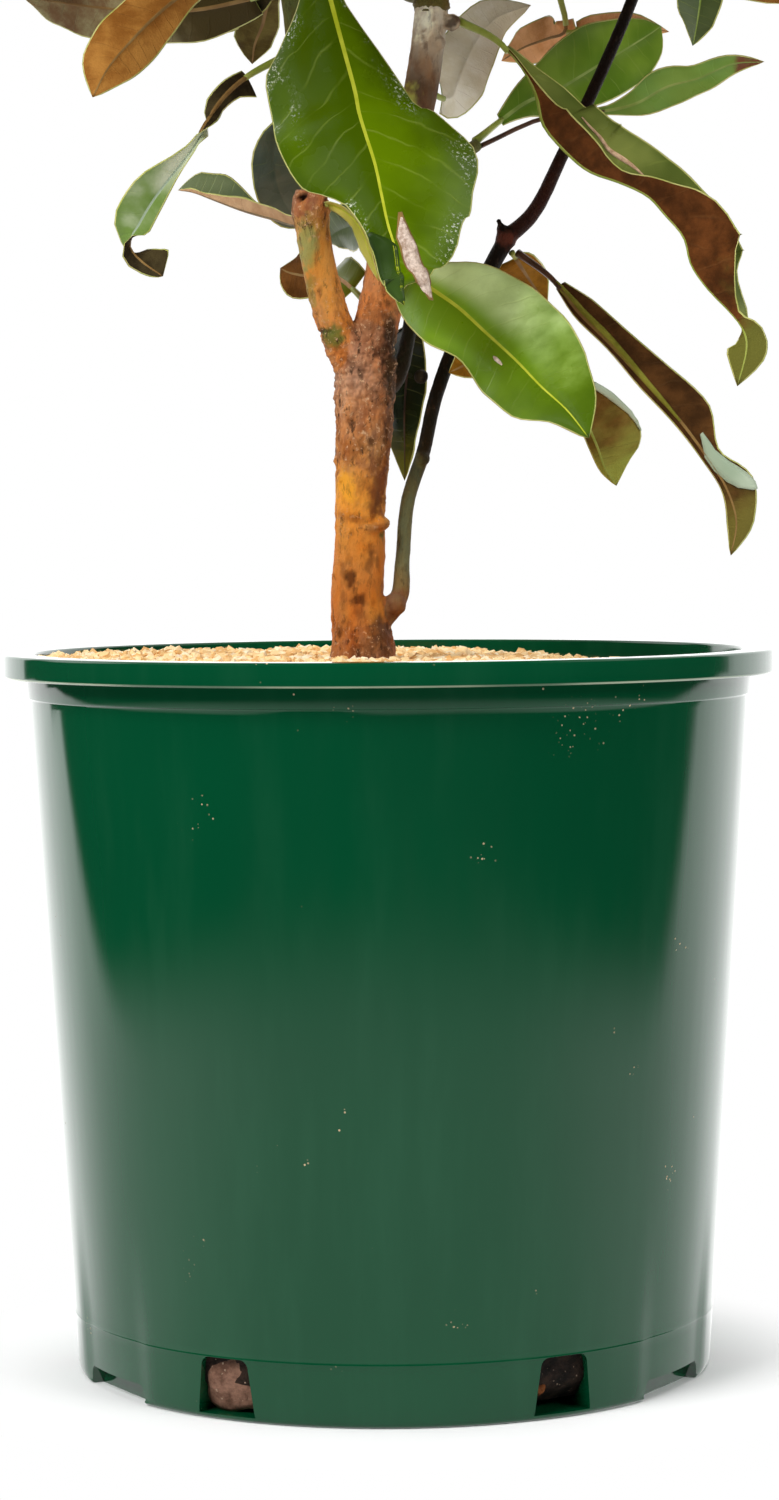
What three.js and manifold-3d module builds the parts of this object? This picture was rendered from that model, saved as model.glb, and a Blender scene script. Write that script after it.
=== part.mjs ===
// A young southern magnolia, grown on one stem in a moulded nursery pot.
// Millimetres, +Z up. The origin is the centre of the pot's flat underside, and -Y is the front.
// The pot, root ball, mulch and every limb are solids of their own. Leaves that stand alone low on
// the tree are thin pads, and the crown above them is a mass of leaves round each shoot's end.
import * as THREE from "three";
import { mergeVertices } from "three/addons/utils/BufferGeometryUtils.js";
import Module from "manifold-3d";

const wasm = await Module();
wasm.setup();

// Driving dimensions ---------------------------------------------------------------------------

const POT = {
  height: 242,
  rimRadius: 130,
  rimDepth: 8, // the rim's outer band, from its top down
  rimEdge: 1, // rounding of the rim's edges
  collarDepth: 15.5, // from the rim's top down to the step under the collar
  collarStep: 0.9, // how far the wall lies inside the collar
  mouthRadius: 119.4,
  footRadius: 107.1,
  flare: 15 / 242, // growth of the wall's radius for each millimetre of height
  footEdge: 2.4,
  wall: 2.4,
  floor: 3.5,
  cornerRadius: 98, // where the floor meets the thick corner inside
  cornerHeight: 12,
  segments: 36,
};
const DRAIN = {
  count: 6,
  firstHeading: -120,
  foot: 1.8,
  height: 18.6,
  width: 19,
  topWidth: 14.5,
  shoulder: 3,
};
const NOTCH = { count: 3, firstHeading: -150, height: 6.5, width: 41, depth: 5, taper: 2 };
const CUTTER_REACH = 12; // how far a cutter runs past the wall, inwards and outwards
const SOIL_TOP = 232;
const SOIL_SHOULDER = 222; // up to here the root ball fills the pot's flare
const MULCH = { depth: 6.6, tilt: -0.011, lumps: 0.8, rings: 3, segments: 18 };

const GAP = 0.3; // clearance between a piece and what carries it
const SNUG = 0.5; // clearance of the root ball and the mulch inside the pot's wall

// Limbs, each a smooth line from its root to its tip with the radius at each point.
const STEMS = [
  {
    name: "trunk",
    points: [[-8.6, 0, 232], [-8.8, 0, 246], [-10.3, 0, 259], [-9.3, 0, 276], [-9.1, 0, 292],
      [-7.6, 0, 316], [-7.1, 0, 333], [-6.4, 0, 345]],
    radii: [12.2, 10.2, 9, 8.6, 8.4, 9.6, 10.3, 9.6],
    sides: 10,
    stations: 10,
    levelFoot: true,
  },
  {
    name: "leader",
    points: [[-6, 0, 338], [-0.8, 2, 363], [2.4, 5, 383], [7, 8, 407], [12.6, 10, 431],
      [16.5, 12, 461], [18, 11, 520], [14, 8, 620], [8, 4, 740], [5, 0, 880]],
    radii: [8, 7.2, 6.6, 6.1, 5.8, 5.6, 5.2, 4.5, 3.5, 2.3],
    sides: 8,
    stations: 13,
  },
  {
    name: "pruned_limb",
    points: [[-9, 0, 332], [-17, -3, 351], [-21.8, -5, 369], [-24.3, -7, 384], [-24.9, -8, 396]],
    radii: [6.4, 6, 5.7, 5.7, 6.1],
    stations: 7,
  },
  {
    name: "left_shoot",
    points: [[-23, -6, 386], [-25, 1, 410], [-28, 1, 433], [-31, 0, 460], [-37, -2, 492],
      [-58, -7, 512], [-86, -10, 530]],
    radii: [3.8, 3.6, 3.4, 3.2, 3, 2.7, 2.2],
    stations: 8,
  },
  {
    name: "base_shoot",
    points: [[-6, 0, 250], [3.4, 0, 259], [5, 2, 272], [7, 4, 292], [12.5, 6, 309], [17, 8, 328],
      [30, 12, 360], [42, 14, 382]],
    radii: [5, 3.2, 2.5, 2.4, 2.4, 2.4, 2.6, 3],
    stations: 9,
  },
  {
    name: "base_shoot_top",
    points: [[40, 14, 380], [50, 16, 389], [61, 18, 410], [82, 22, 455], [96, 26, 492],
      [112, 28, 530]],
    radii: [3.2, 3, 2.8, 2.8, 2.6, 2.2],
    stations: 7,
  },
  {
    name: "side_branch",
    points: [[-5, 0, 326], [3, 5, 333], [7, 9, 345], [9, 13, 358]],
    radii: [3.4, 3.1, 2.6, 2.2],
    stations: 5,
  },
  {
    name: "right_twig",
    points: [[4, 6, 393], [12, 8, 399], [21, 12, 406], [32, 18, 413]],
    radii: [2.8, 2.6, 2.4, 2.2],
    stations: 4,
  },
];

// Boughs that the leader carries, tier by tier: the height where they leave it, the heading of
// each in degrees from +X, how far they reach out and rise, and the half-width and half-depth of
// the mass of leaves at each tip.
const TIERS = [
  { name: "low", height: 474, headings: [-98, 50, 140], reach: 98, rise: 56, spread: 78, depth: 54 },
  { name: "middle", height: 560, headings: [-142, -50, 22, 112], reach: 112, rise: 78, spread: 82,
    depth: 60 },
  { name: "upper", height: 662, headings: [-100, 25, 165], reach: 84, rise: 84, spread: 76,
    depth: 62 },
  { name: "high", height: 758, headings: [-30, 130], reach: 52, rise: 84, spread: 64, depth: 60 },
];
// A bough's radii, and how far its tier's heights and reaches differ from bough to bough.
const BOUGH = { root: 3.4, tip: 2.1, uneven: 12 };
// A bough's line: at each share of its reach, the share of its rise. It ends inside its mass.
const BOUGH_LINE = [[0, 0], [0.3, 0.15], [0.62, 0.42], [0.85, 0.72]];
const MASS_LIFT = 1.12; // a mass's centre, as a share of its bough's rise

// Masses of leaves that don't stand on a tier's bough: centre, half-width and half-depth.
const CROWN_TOP = { name: "crown_top", centre: [5, 0, 936], spread: 68, depth: 76 };
const CROWN_LEFT = { name: "crown_left", centre: [-106, -14, 545], spread: 76, depth: 56 };
const CROWN_RIGHT = { name: "crown_right", centre: [122, 30, 556], spread: 76, depth: 58 };
const MASS_NARROWING = 0.28; // how much narrower a mass is at its foot than at its middle
const MASS_UNEVEN = 0.13;
const MASS_SEED_STEP = 1.7; // keeps the masses' shapes apart

// Leaves that stand alone: the line of the midrib from its seat to the tip, the blade's full
// width, and the way that its glossy side faces.
const LEAVES = [
  { name: "leaf_front", midrib: [[-34, -2, 490], [-22, -28, 474], [-5, -62, 416], [6, -82, 353]],
    width: 68, face: [0, -1, 0.25] },
  { name: "leaf_right_middle", midrib: [[0, 2, 370], [9, -14, 369], [38, -42, 345], [66, -72, 310]],
    width: 48, face: [0.2, -0.7, 0.6] },
  { name: "leaf_right_long", midrib: [[17, 12, 456], [39, 0, 444], [64, -20, 410], [90, -36, 389],
    [113, -46, 366], [119, -48, 345], [117, -46, 328]], width: 34, face: [0.35, 0.7, 0.6] },
  { name: "leaf_right_low", midrib: [[44, 15, 384], [58, 6, 363], [85, -10, 336], [104, -22, 311],
    [118, -30, 288], [114, -32, 273]], width: 26, face: [0.6, 0.6, 0.5] },
  { name: "leaf_right_back", midrib: [[31, 12, 364], [57, 32, 349], [76, 44, 327], [81, 46, 297]],
    width: 30, face: [0.5, 0.7, 0.4] },
  { name: "leaf_right_amber", midrib: [[42, 14, 380], [46, 26, 377], [52, 38, 371], [57, 44, 358]],
    width: 22, face: [0.4, 0.7, 0.5] },
  { name: "leaf_trunk_side", midrib: [[8, 11, 350], [5, 20, 346], [5, 27, 323], [7, 18, 297]],
    width: 22, face: [0.7, 0.6, 0.1] },
  { name: "leaf_twig_broad", midrib: [[30, 18, 412], [40, 28, 423], [67, 52, 442], [97, 74, 459]],
    width: 42, face: [-0.25, -0.8, 0.55] },
  { name: "leaf_twig_narrow", midrib: [[30, 18, 412], [54, 12, 419], [73, 4, 424], [99, -6, 431],
    [126, -18, 436]], width: 30, face: [0, -0.3, 0.95] },
  { name: "leaf_leader_back", midrib: [[14, 13, 431], [22, 36, 426], [30, 58, 447], [50, 68, 466]],
    width: 24, face: [-0.2, 0.95, 0.3] },
  { name: "leaf_top_right", midrib: [[95, 27, 508], [98, 4, 494], [101, -12, 468], [102, -20, 441]],
    width: 34, face: [0.4, -0.8, 0.4] },
  { name: "leaf_back_rust", midrib: [[57, 60, 505], [63, 64, 474], [54, 74, 455], [40, 86, 447]],
    width: 32, face: [0, 0.7, 0.7] },
  { name: "leaf_left_far", midrib: [[-34, -1, 480], [-76, 20, 481], [-102, 34, 466], [-123, 42, 464]],
    width: 46, face: [-0.2, 0.5, 0.85] },
  { name: "leaf_left_rust", midrib: [[-35, -2, 486], [-58, -12, 474], [-79, -28, 450], [-96, -40, 424]],
    width: 40, face: [-0.5, 0.65, 0.55] },
  { name: "leaf_left_grey", midrib: [[-32, 0, 470], [-42, 14, 472], [-60, 34, 463], [-80, 50, 452]],
    width: 38, face: [0, -0.5, 0.85] },
  { name: "leaf_left_olive", midrib: [[-31, 0, 462], [-36, 22, 470], [-42, 40, 462], [-52, 56, 444]],
    width: 26, face: [0.5, 0.6, 0.6] },
  { name: "leaf_left_twisted", midrib: [[-28, 0, 437], [-42, -10, 437], [-59, -26, 422],
    [-68, -36, 402], [-83, -44, 388], [-83, -48, 375], [-72, -50, 366]], width: 22,
    face: [-0.6, -0.5, 0.6] },
  { name: "leaf_left_dark", midrib: [[-25, 1, 411], [-32, 14, 422], [-40, 30, 412], [-41, 40, 392]],
    width: 30, face: [0.5, -0.8, 0.3] },
  { name: "leaf_left_pink", midrib: [[-24, -6, 388], [-30, 14, 384], [-49, 36, 394], [-72, 52, 403]],
    width: 24, face: [-0.1, -0.55, 0.8] },
  { name: "leaf_fork_back", midrib: [[1, 4, 374], [-4, 20, 376], [-12, 40, 383], [-19, 52, 392]],
    width: 26, face: [0.3, -0.7, 0.6] },
  { name: "leaf_limb_back", midrib: [[-3, 2, 355], [-12, 20, 362], [-23, 34, 369], [-36, 44, 371]],
    width: 26, face: [0, -0.6, 0.8] },
];
const BLADE = { thickness: 2.6, stalk: 1.5, stalkShare: 0.12, stations: 6, wave: 0.07 };

// Finishes: colour, roughness, metalness.
const FINISH = {
  pot: new THREE.MeshStandardMaterial({ color: 0x0b4a2e, roughness: 0.25, metalness: 0 }),
  soil: new THREE.MeshStandardMaterial({ color: 0x3a2a20, roughness: 0.95, metalness: 0 }),
  mulch: new THREE.MeshStandardMaterial({ color: 0xd9ad6b, roughness: 0.9, metalness: 0 }),
  bark: new THREE.MeshStandardMaterial({ color: 0x9a5c2e, roughness: 0.8, metalness: 0 }),
  greenBark: new THREE.MeshStandardMaterial({ color: 0x6f6a45, roughness: 0.75, metalness: 0 }),
  glossyLeaf: new THREE.MeshStandardMaterial({ color: 0x2f5c1c, roughness: 0.35, metalness: 0 }),
  rustyLeaf: new THREE.MeshStandardMaterial({ color: 0x7a4a2c, roughness: 0.8, metalness: 0 }),
};

// Solids ---------------------------------------------------------------------------------------

const vector = (p) => new THREE.Vector3(...p);
const turn = THREE.MathUtils.degToRad;
const mix = THREE.MathUtils.lerp;

// A closed geometry as a manifold solid, turned right way out.
function solid(geometry) {
  const bare = new THREE.BufferGeometry();
  bare.setAttribute("position", geometry.getAttribute("position"));
  bare.setIndex(geometry.index);
  const merged = mergeVertices(bare, 1e-3);
  const mesh = { numProp: 3, vertProperties: merged.attributes.position.array };
  const triVerts = new Uint32Array(merged.index.array);
  const made = new wasm.Manifold(new wasm.Mesh({ ...mesh, triVerts }));
  if (made.volume() > 0) return made;
  return new wasm.Manifold(new wasm.Mesh({ ...mesh, triVerts: triVerts.toReversed() }));
}

// A manifold solid as the geometry of a named mesh.
function piece(name, body, material) {
  const { vertProperties, triVerts } = body.getMesh();
  const geometry = new THREE.BufferGeometry();
  geometry.setAttribute("position", new THREE.BufferAttribute(new Float32Array(vertProperties), 3));
  geometry.setIndex(new THREE.BufferAttribute(new Uint32Array(triVerts), 1));
  geometry.computeVertexNormals();
  const mesh = new THREE.Mesh(geometry, material);
  mesh.name = name;
  return mesh;
}

// Rings of equally many points, skinned into a closed body with a flat cap at each end.
function skin(rings) {
  const sides = rings[0].length;
  const points = rings.flat();
  const index = [];
  for (let r = 0; r < rings.length - 1; r++) {
    for (let s = 0; s < sides; s++) {
      const a = r * sides + s;
      const b = r * sides + ((s + 1) % sides);
      index.push(a, b, b + sides, a, b + sides, a + sides);
    }
  }
  for (const [ring, flip] of [[0, true], [rings.length - 1, false]]) {
    const middle = rings[ring].reduce((sum, p) => sum.add(p), new THREE.Vector3());
    points.push(middle.divideScalar(sides));
    for (let s = 0; s < sides; s++) {
      const a = ring * sides + s;
      const b = ring * sides + ((s + 1) % sides);
      index.push(points.length - 1, ...(flip ? [b, a] : [a, b]));
    }
  }
  const geometry = new THREE.BufferGeometry().setFromPoints(points);
  geometry.setIndex(index);
  return geometry;
}

// A profile of [radius, height] pairs turned about the Z axis.
function turned(profile, segments) {
  const outline = profile.map(([r, z]) => new THREE.Vector2(r, z));
  return new THREE.LatheGeometry(outline, segments).rotateX(Math.PI / 2);
}

// The value at share t of the way along a list of evenly spaced values.
function along(values, t) {
  const at = t * (values.length - 1);
  const low = Math.min(Math.floor(at), values.length - 2);
  return mix(values[low], values[low + 1], at - low);
}

// A slow wave over the directions of space, between -1 and 1, different for each seed.
function wave(direction, seed) {
  const { x, y, z } = direction;
  return Math.sin(2.3 * x + 3.1 * y + seed) * Math.cos(2.9 * z - 1.7 * x + 2.1 * seed);
}

// A tapering limb of round, slightly uneven section. The trunk's foot is a level cut.
function limb({ points, radii, sides = 6, stations, levelFoot = false }, grow = 0) {
  const line = new THREE.CatmullRomCurve3(points.map(vector), false, "centripetal");
  const frames = line.computeFrenetFrames(stations);
  const rings = [];
  for (let i = 0; i <= stations; i++) {
    const t = i / stations;
    const middle = line.getPoint(t);
    const ring = [];
    for (let s = 0; s < sides; s++) {
      const angle = (s / sides) * 2 * Math.PI;
      const radius = along(radii, t) * (1 + 0.04 * Math.sin(3 * angle + 5 * i)) + grow;
      const point = middle.clone();
      point.addScaledVector(frames.normals[i], radius * Math.cos(angle));
      point.addScaledVector(frames.binormals[i], radius * Math.sin(angle));
      if (levelFoot && i === 0) point.z = middle.z;
      ring.push(point);
    }
    rings.push(ring);
  }
  return solid(skin(rings));
}

// A leaf's outline: the share of its full width at share t of its length, stalk first.
function bladeWidth(t) {
  if (t < BLADE.stalkShare) return 0;
  const u = (t - BLADE.stalkShare) / (1 - BLADE.stalkShare);
  return Math.sin(Math.PI * u ** 0.92) ** 0.75;
}

// A leaf as a thin six-sided blade, thickest at its midrib, with a stalk at its foot.
function blade({ midrib, width, face }, grow = 0) {
  const line = new THREE.CatmullRomCurve3(midrib.map(vector), false, "centripetal");
  const towards = vector(face);
  const rings = [];
  for (let i = 0; i <= BLADE.stations; i++) {
    const t = i / BLADE.stations;
    const middle = line.getPoint(t);
    const ahead = line.getTangent(t);
    const up = towards.clone().addScaledVector(ahead, -towards.dot(ahead)).normalize();
    const across = ahead.clone().cross(up);
    const swell = 1 + BLADE.wave * Math.sin(4.1 * i + width);
    const half = Math.max((bladeWidth(t) * width * swell) / 2, BLADE.stalk) + grow;
    const thick = mix(BLADE.stalk, BLADE.thickness, Math.min(1, half / 12)) + grow;
    const section = [[1, 0], [0.45, 1], [-0.45, 1], [-1, 0], [-0.45, -1], [0.45, -1]];
    rings.push(section.map(([a, u]) =>
      middle.clone().addScaledVector(across, a * half).addScaledVector(up, u * thick)));
  }
  return solid(skin(rings));
}

// A mass of leaves: an uneven ball, narrower towards the shoot that carries it.
function mass({ centre, spread, depth, seed }, grow = 0) {
  const geometry = mergeVertices(bareBall());
  const position = geometry.getAttribute("position");
  const direction = new THREE.Vector3();
  for (let i = 0; i < position.count; i++) {
    direction.fromBufferAttribute(position, i).normalize();
    const reach = 1 + MASS_UNEVEN * wave(direction, seed);
    const narrow = 1 - MASS_NARROWING * Math.max(0, -direction.z);
    position.setXYZ(
      i,
      centre[0] + direction.x * (spread * reach * narrow + grow),
      centre[1] + direction.y * (spread * reach * narrow + grow),
      centre[2] + direction.z * (depth * reach + grow),
    );
  }
  return solid(geometry);
}

function bareBall() {
  const ball = new THREE.SphereGeometry(1, 9, 6).rotateX(Math.PI / 2);
  return ball.deleteAttribute("normal").deleteAttribute("uv");
}

// Pot, root ball and mulch -----------------------------------------------------------------------

const wallRadius = (z) => POT.footRadius + POT.flare * z;
const innerRadius = (z) => Math.min(wallRadius(z) - POT.wall, POT.mouthRadius);

// A prism of the given outline, across and up, standing out from the axis along a heading.
function radialPrism(outline, heading, from, to) {
  const shape = new THREE.Shape(outline.map(([x, y]) => new THREE.Vector2(x, y)));
  const geometry = new THREE.ExtrudeGeometry(shape, { depth: to - from, bevelEnabled: false });
  geometry.translate(0, 0, from);
  geometry.applyMatrix4(new THREE.Matrix4().makeBasis(
    new THREE.Vector3(0, 1, 0),
    new THREE.Vector3(0, 0, 1),
    new THREE.Vector3(1, 0, 0),
  ));
  return solid(geometry.rotateZ(turn(heading)));
}

function drainHole(heading) {
  const { foot, height, width, topWidth, shoulder } = DRAIN;
  const outline = [
    [-width / 2, foot],
    [width / 2, foot],
    [topWidth / 2, foot + height - shoulder],
    [topWidth / 2 - shoulder, foot + height],
    [shoulder - topWidth / 2, foot + height],
    [-topWidth / 2, foot + height - shoulder],
  ];
  return radialPrism(outline, heading, POT.cornerRadius - CUTTER_REACH, POT.footRadius + CUTTER_REACH);
}

function footNotch(heading) {
  const { width, height, depth, taper } = NOTCH;
  const outline = [
    [-width / 2, -1],
    [width / 2, -1],
    [width / 2 - taper, height],
    [taper - width / 2, height],
  ];
  const chord = POT.footRadius * Math.cos(Math.asin(width / 2 / POT.footRadius));
  return radialPrism(outline, heading, chord - depth, POT.footRadius + CUTTER_REACH);
}

function pot() {
  const { height, rimRadius, rimDepth, rimEdge, collarDepth, collarStep, footEdge } = POT;
  const collarFoot = height - collarDepth;
  const collarRadius = wallRadius(collarFoot) + collarStep;
  const collarTop = wallRadius(height - rimDepth) + collarStep;
  const foot = wallRadius(0);
  let body = solid(turned([
    [0, 0],
    [foot - footEdge, 0],
    [foot - footEdge / 4, footEdge / 4],
    [foot, footEdge],
    [wallRadius(collarFoot), collarFoot],
    [collarRadius, collarFoot + collarStep],
    [collarTop, height - rimDepth],
    [rimRadius - rimEdge, height - rimDepth],
    [rimRadius, height - rimDepth + rimEdge],
    [rimRadius, height - rimEdge],
    [rimRadius - rimEdge, height],
    [POT.mouthRadius + rimEdge, height],
    [POT.mouthRadius, height - rimEdge],
    [innerRadius(SOIL_SHOULDER), SOIL_SHOULDER],
    [innerRadius(POT.cornerHeight), POT.cornerHeight],
    [POT.cornerRadius, POT.floor],
    [0, POT.floor],
  ], POT.segments));
  for (let i = 0; i < DRAIN.count; i++) {
    body = body.subtract(drainHole(DRAIN.firstHeading + (360 / DRAIN.count) * i));
  }
  for (let i = 0; i < NOTCH.count; i++) {
    body = body.subtract(footNotch(NOTCH.firstHeading + (360 / NOTCH.count) * i));
  }
  return body;
}

function rootBall() {
  const floor = POT.floor + GAP;
  const widest = innerRadius(SOIL_SHOULDER) - SNUG;
  return solid(turned([
    [0, floor],
    [POT.cornerRadius - SNUG, floor],
    [innerRadius(POT.cornerHeight) - SNUG, POT.cornerHeight],
    [widest, SOIL_SHOULDER],
    [widest, SOIL_TOP],
    [0, SOIL_TOP],
  ], POT.segments));
}

// A bed of wood chips, level below and lumpy on top, a little higher on the left.
function mulch() {
  const { depth, tilt, lumps, rings: count, segments } = MULCH;
  const foot = SOIL_TOP + GAP;
  const outer = innerRadius(SOIL_SHOULDER) - SNUG;
  const ringAt = (radius, top, step) =>
    Array.from({ length: segments }, (_, s) => {
      const angle = (s / segments) * 2 * Math.PI;
      const x = radius * Math.cos(angle);
      const y = radius * Math.sin(angle);
      const lump = lumps * Math.sin(7.3 * s + 4.1 * step);
      return new THREE.Vector3(x, y, top ? foot + depth + tilt * x + lump : foot);
    });
  const rings = [ringAt(outer / count, false, 0), ringAt(outer, false, 0)];
  for (let r = count; r >= 1; r--) rings.push(ringAt((outer * r) / count, true, r));
  return solid(skin(rings));
}

// Tree -----------------------------------------------------------------------------------------

// The point of a limb's line at a given height.
function pointAtHeight(points, height) {
  const above = points.findIndex((p) => p[2] > height);
  const [a, b] = [points[above - 1], points[above]];
  const t = (height - a[2]) / (b[2] - a[2]);
  return a.map((v, i) => mix(v, b[i], t));
}

// A tier's boughs, each a rising curve from the leader into the mass of leaves at its tip.
function tier({ name, height, headings, reach, rise, spread, depth }, leader) {
  return headings.map((heading, i) => {
    const foot = pointAtHeight(leader.points, height + BOUGH.uneven * Math.sin(2.4 * i));
    const out = new THREE.Vector2(Math.cos(turn(heading)), Math.sin(turn(heading)));
    const far = reach + BOUGH.uneven * Math.cos(3.7 * i + reach);
    const at = ([share, lift]) => [
      foot[0] + out.x * far * share,
      foot[1] + out.y * far * share,
      foot[2] + rise * lift,
    ];
    return {
      bough: {
        name: `bough_${name}_${i + 1}`,
        points: BOUGH_LINE.map(at),
        radii: [BOUGH.root, BOUGH.tip],
        stations: 5,
      },
      mass: {
        name: `crown_${name}_${i + 1}`,
        centre: at([1, MASS_LIFT]),
        spread: spread + (BOUGH.uneven / 2) * Math.sin(1.9 * i + spread),
        depth,
      },
    };
  });
}

const leader = STEMS.find((stem) => stem.name === "leader");
const tiers = TIERS.flatMap((rule) => tier(rule, leader));
const limbs = [...STEMS, ...tiers.map(({ bough }) => bough)];
const masses = [CROWN_LEFT, CROWN_RIGHT, ...tiers.map((t) => t.mass), CROWN_TOP];

const magnolia = new THREE.Group();
magnolia.add(piece("pot", pot(), FINISH.pot));
magnolia.add(piece("root_ball", rootBall(), FINISH.soil));

// Each piece is cut back from the ones before it, grown by the gap, so that it only just clears
// them. Where that cuts off a sliver, the largest part is the piece.
const taken = [];
function fit(name, body, grown, material) {
  let cut = body;
  for (const other of taken) cut = cut.subtract(other);
  taken.push(grown);
  const parts = cut.decompose().toSorted((a, b) => b.volume() - a.volume());
  magnolia.add(piece(name, parts[0], material));
}

for (const stem of limbs) {
  const old = stem.name === "trunk" || stem.name === "pruned_limb";
  fit(stem.name, limb(stem), limb(stem, GAP), old ? FINISH.bark : FINISH.greenBark);
}
fit("mulch", mulch(), mulch(), FINISH.mulch);
for (const leaf of LEAVES) {
  const rusty = leaf.face[1] > 0;
  fit(leaf.name, blade(leaf), blade(leaf, GAP), rusty ? FINISH.rustyLeaf : FINISH.glossyLeaf);
}
masses.forEach((clump, i) => {
  const shape = { ...clump, seed: MASS_SEED_STEP * i };
  fit(clump.name, mass(shape), mass(shape, GAP), FINISH.glossyLeaf);
});

export default magnolia;
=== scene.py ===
import math
import random

import bmesh
import bpy
import numpy as np
from mathutils import Euler, Matrix, Vector, noise


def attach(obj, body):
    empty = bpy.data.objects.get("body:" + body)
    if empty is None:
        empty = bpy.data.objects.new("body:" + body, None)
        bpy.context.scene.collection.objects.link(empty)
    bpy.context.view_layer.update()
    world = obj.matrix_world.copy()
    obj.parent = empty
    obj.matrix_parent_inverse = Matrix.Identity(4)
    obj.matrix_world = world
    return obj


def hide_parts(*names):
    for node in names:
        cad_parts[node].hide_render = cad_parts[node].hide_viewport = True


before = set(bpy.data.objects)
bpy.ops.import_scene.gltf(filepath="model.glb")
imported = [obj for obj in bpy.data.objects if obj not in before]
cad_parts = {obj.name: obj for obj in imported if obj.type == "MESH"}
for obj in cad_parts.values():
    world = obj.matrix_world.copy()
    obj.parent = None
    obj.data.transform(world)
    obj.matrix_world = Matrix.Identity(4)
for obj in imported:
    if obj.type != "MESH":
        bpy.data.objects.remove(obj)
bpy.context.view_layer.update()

# Studio -------------------------------------------------------------------------------------------
# The tree stands on a sweep of white paper in front of a white wall, with the room behind the
# camera left dark. Two large soft boxes light it from the front, and one from above.

CAMERA_PLACE = (0.0001, -1.337, 0.283)
CAMERA_PITCH = math.radians(-3.21)
CAMERA_ROLL = math.radians(-0.473)
CAMERA_LENS = 95  # mm
CAMERA_SENSOR = 36  # mm
PAPER_RADIUS = 2.6
SWEEP_HALF = 0.62  # m from the pot to where the white sweep's slanting sides start
SWEEP_SIDES = (0.8, 0.25)  # how steeply they run back, and how much more so on the left
# Smooth steps: two limits and, where four numbers stand, the values at them.
LIT_EDGE = (0.109, 0.165)  # m, where paper that takes the pot's shadow turns into plain white
MIRROR_EDGE = (0.55, 0.92)  # m, where the front of the paper fades out, as the pot's gloss mirrors it
SWEEP_EDGE = (-0.1, 0.08, 1.0, 0.0)  # m, how the paper ends at the sweep's sides
FRONT_SHINE = (-1.0, -0.3, -0.35, 0.0)  # by heading, how much dimmer the mirrored paper is in front
BACK_SHINE = (-0.2, 0.8, 0.0, 0.85)  # and how much brighter it is behind
WALL_EDGE = (-0.04, 0.04, 0.02, 0.95)  # how the white wall ends at the sweep's sides
CEILING = (0.22, 0.75, 0.0, 0.6)  # by how far up a direction looks
CEILING_SIDES = (0.5, 0.85, 0.05, 1.0)  # by how far to a side it looks
GLOWS = [((-0.88, 0.32, 0.46), 2.2), ((0.78, -0.10, 0.62), 0.8)]  # where the two large boxes shine from
GLOW_EDGE = (0.93, 0.99)
# Each soft box: place, the height on the tree it is aimed at, size and power in watts.
SOFT_BOXES = {
    "soft_box_left": ((-1.3, -1.35, 1.75), 0.35, 1.1, 54),
    "soft_box_right": ((1.35, -1.15, 1.25), 0.35, 0.9, 16),
    "soft_box_above": ((0.1, 0.1, 2.3), 0.3, 1.4, 37),
}


def link(obj):
    """Puts an object in the scene."""
    bpy.context.scene.collection.objects.link(obj)
    return obj


def node(tree, kind, inputs=(), **settings):
    """Adds a node. inputs gives each socket, by name or number, a value or the socket that feeds it."""
    made = tree.nodes.new(kind)
    for name, value in settings.items():
        setattr(made, name, value)
    for key, value in dict(inputs).items():
        if isinstance(value, bpy.types.NodeSocket):
            tree.links.new(value, made.inputs[key])
        else:
            made.inputs[key].default_value = value
    return made


def remap(tree, value, low, high, out_low=0.0, out_high=1.0):
    """A smooth step of a value between two limits."""
    sockets = {0: value, 1: low, 2: high, 3: out_low, 4: out_high}
    return node(tree, "ShaderNodeMapRange", sockets, interpolation_type="SMOOTHSTEP").outputs[0]


def calculate(tree, operation, a, b=0.0):
    return node(tree, "ShaderNodeMath", {0: a, 1: b}, operation=operation).outputs[0]


def product(tree, value, *others):
    for other in others:
        value = calculate(tree, "MULTIPLY", value, other)
    return value


def in_sweep(tree, part, start):
    """How far a point of the floor, or with a start of 0 a direction, lies inside the sweep's sides."""
    lean = product(tree, calculate(tree, "SIGN", part["X"]), -SWEEP_SIDES[1])
    slope = calculate(tree, "ADD", lean, SWEEP_SIDES[0])
    out = calculate(tree, "SUBTRACT", calculate(tree, "ABSOLUTE", part["X"]), start)
    return calculate(tree, "SUBTRACT", part["Y"], product(tree, slope, out))


camera_data = bpy.data.cameras.new("camera")
camera_data.lens = CAMERA_LENS
camera_data.sensor_width = CAMERA_SENSOR
camera = link(bpy.data.objects.new("camera", camera_data))
camera.location = CAMERA_PLACE
aim = Matrix.Rotation(math.pi / 2 + CAMERA_PITCH, 4, "X") @ Matrix.Rotation(CAMERA_ROLL, 4, "Z")
camera.rotation_euler = aim.to_euler()
bpy.context.scene.camera = camera
bpy.context.scene.view_settings.view_transform = "Standard"

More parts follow.
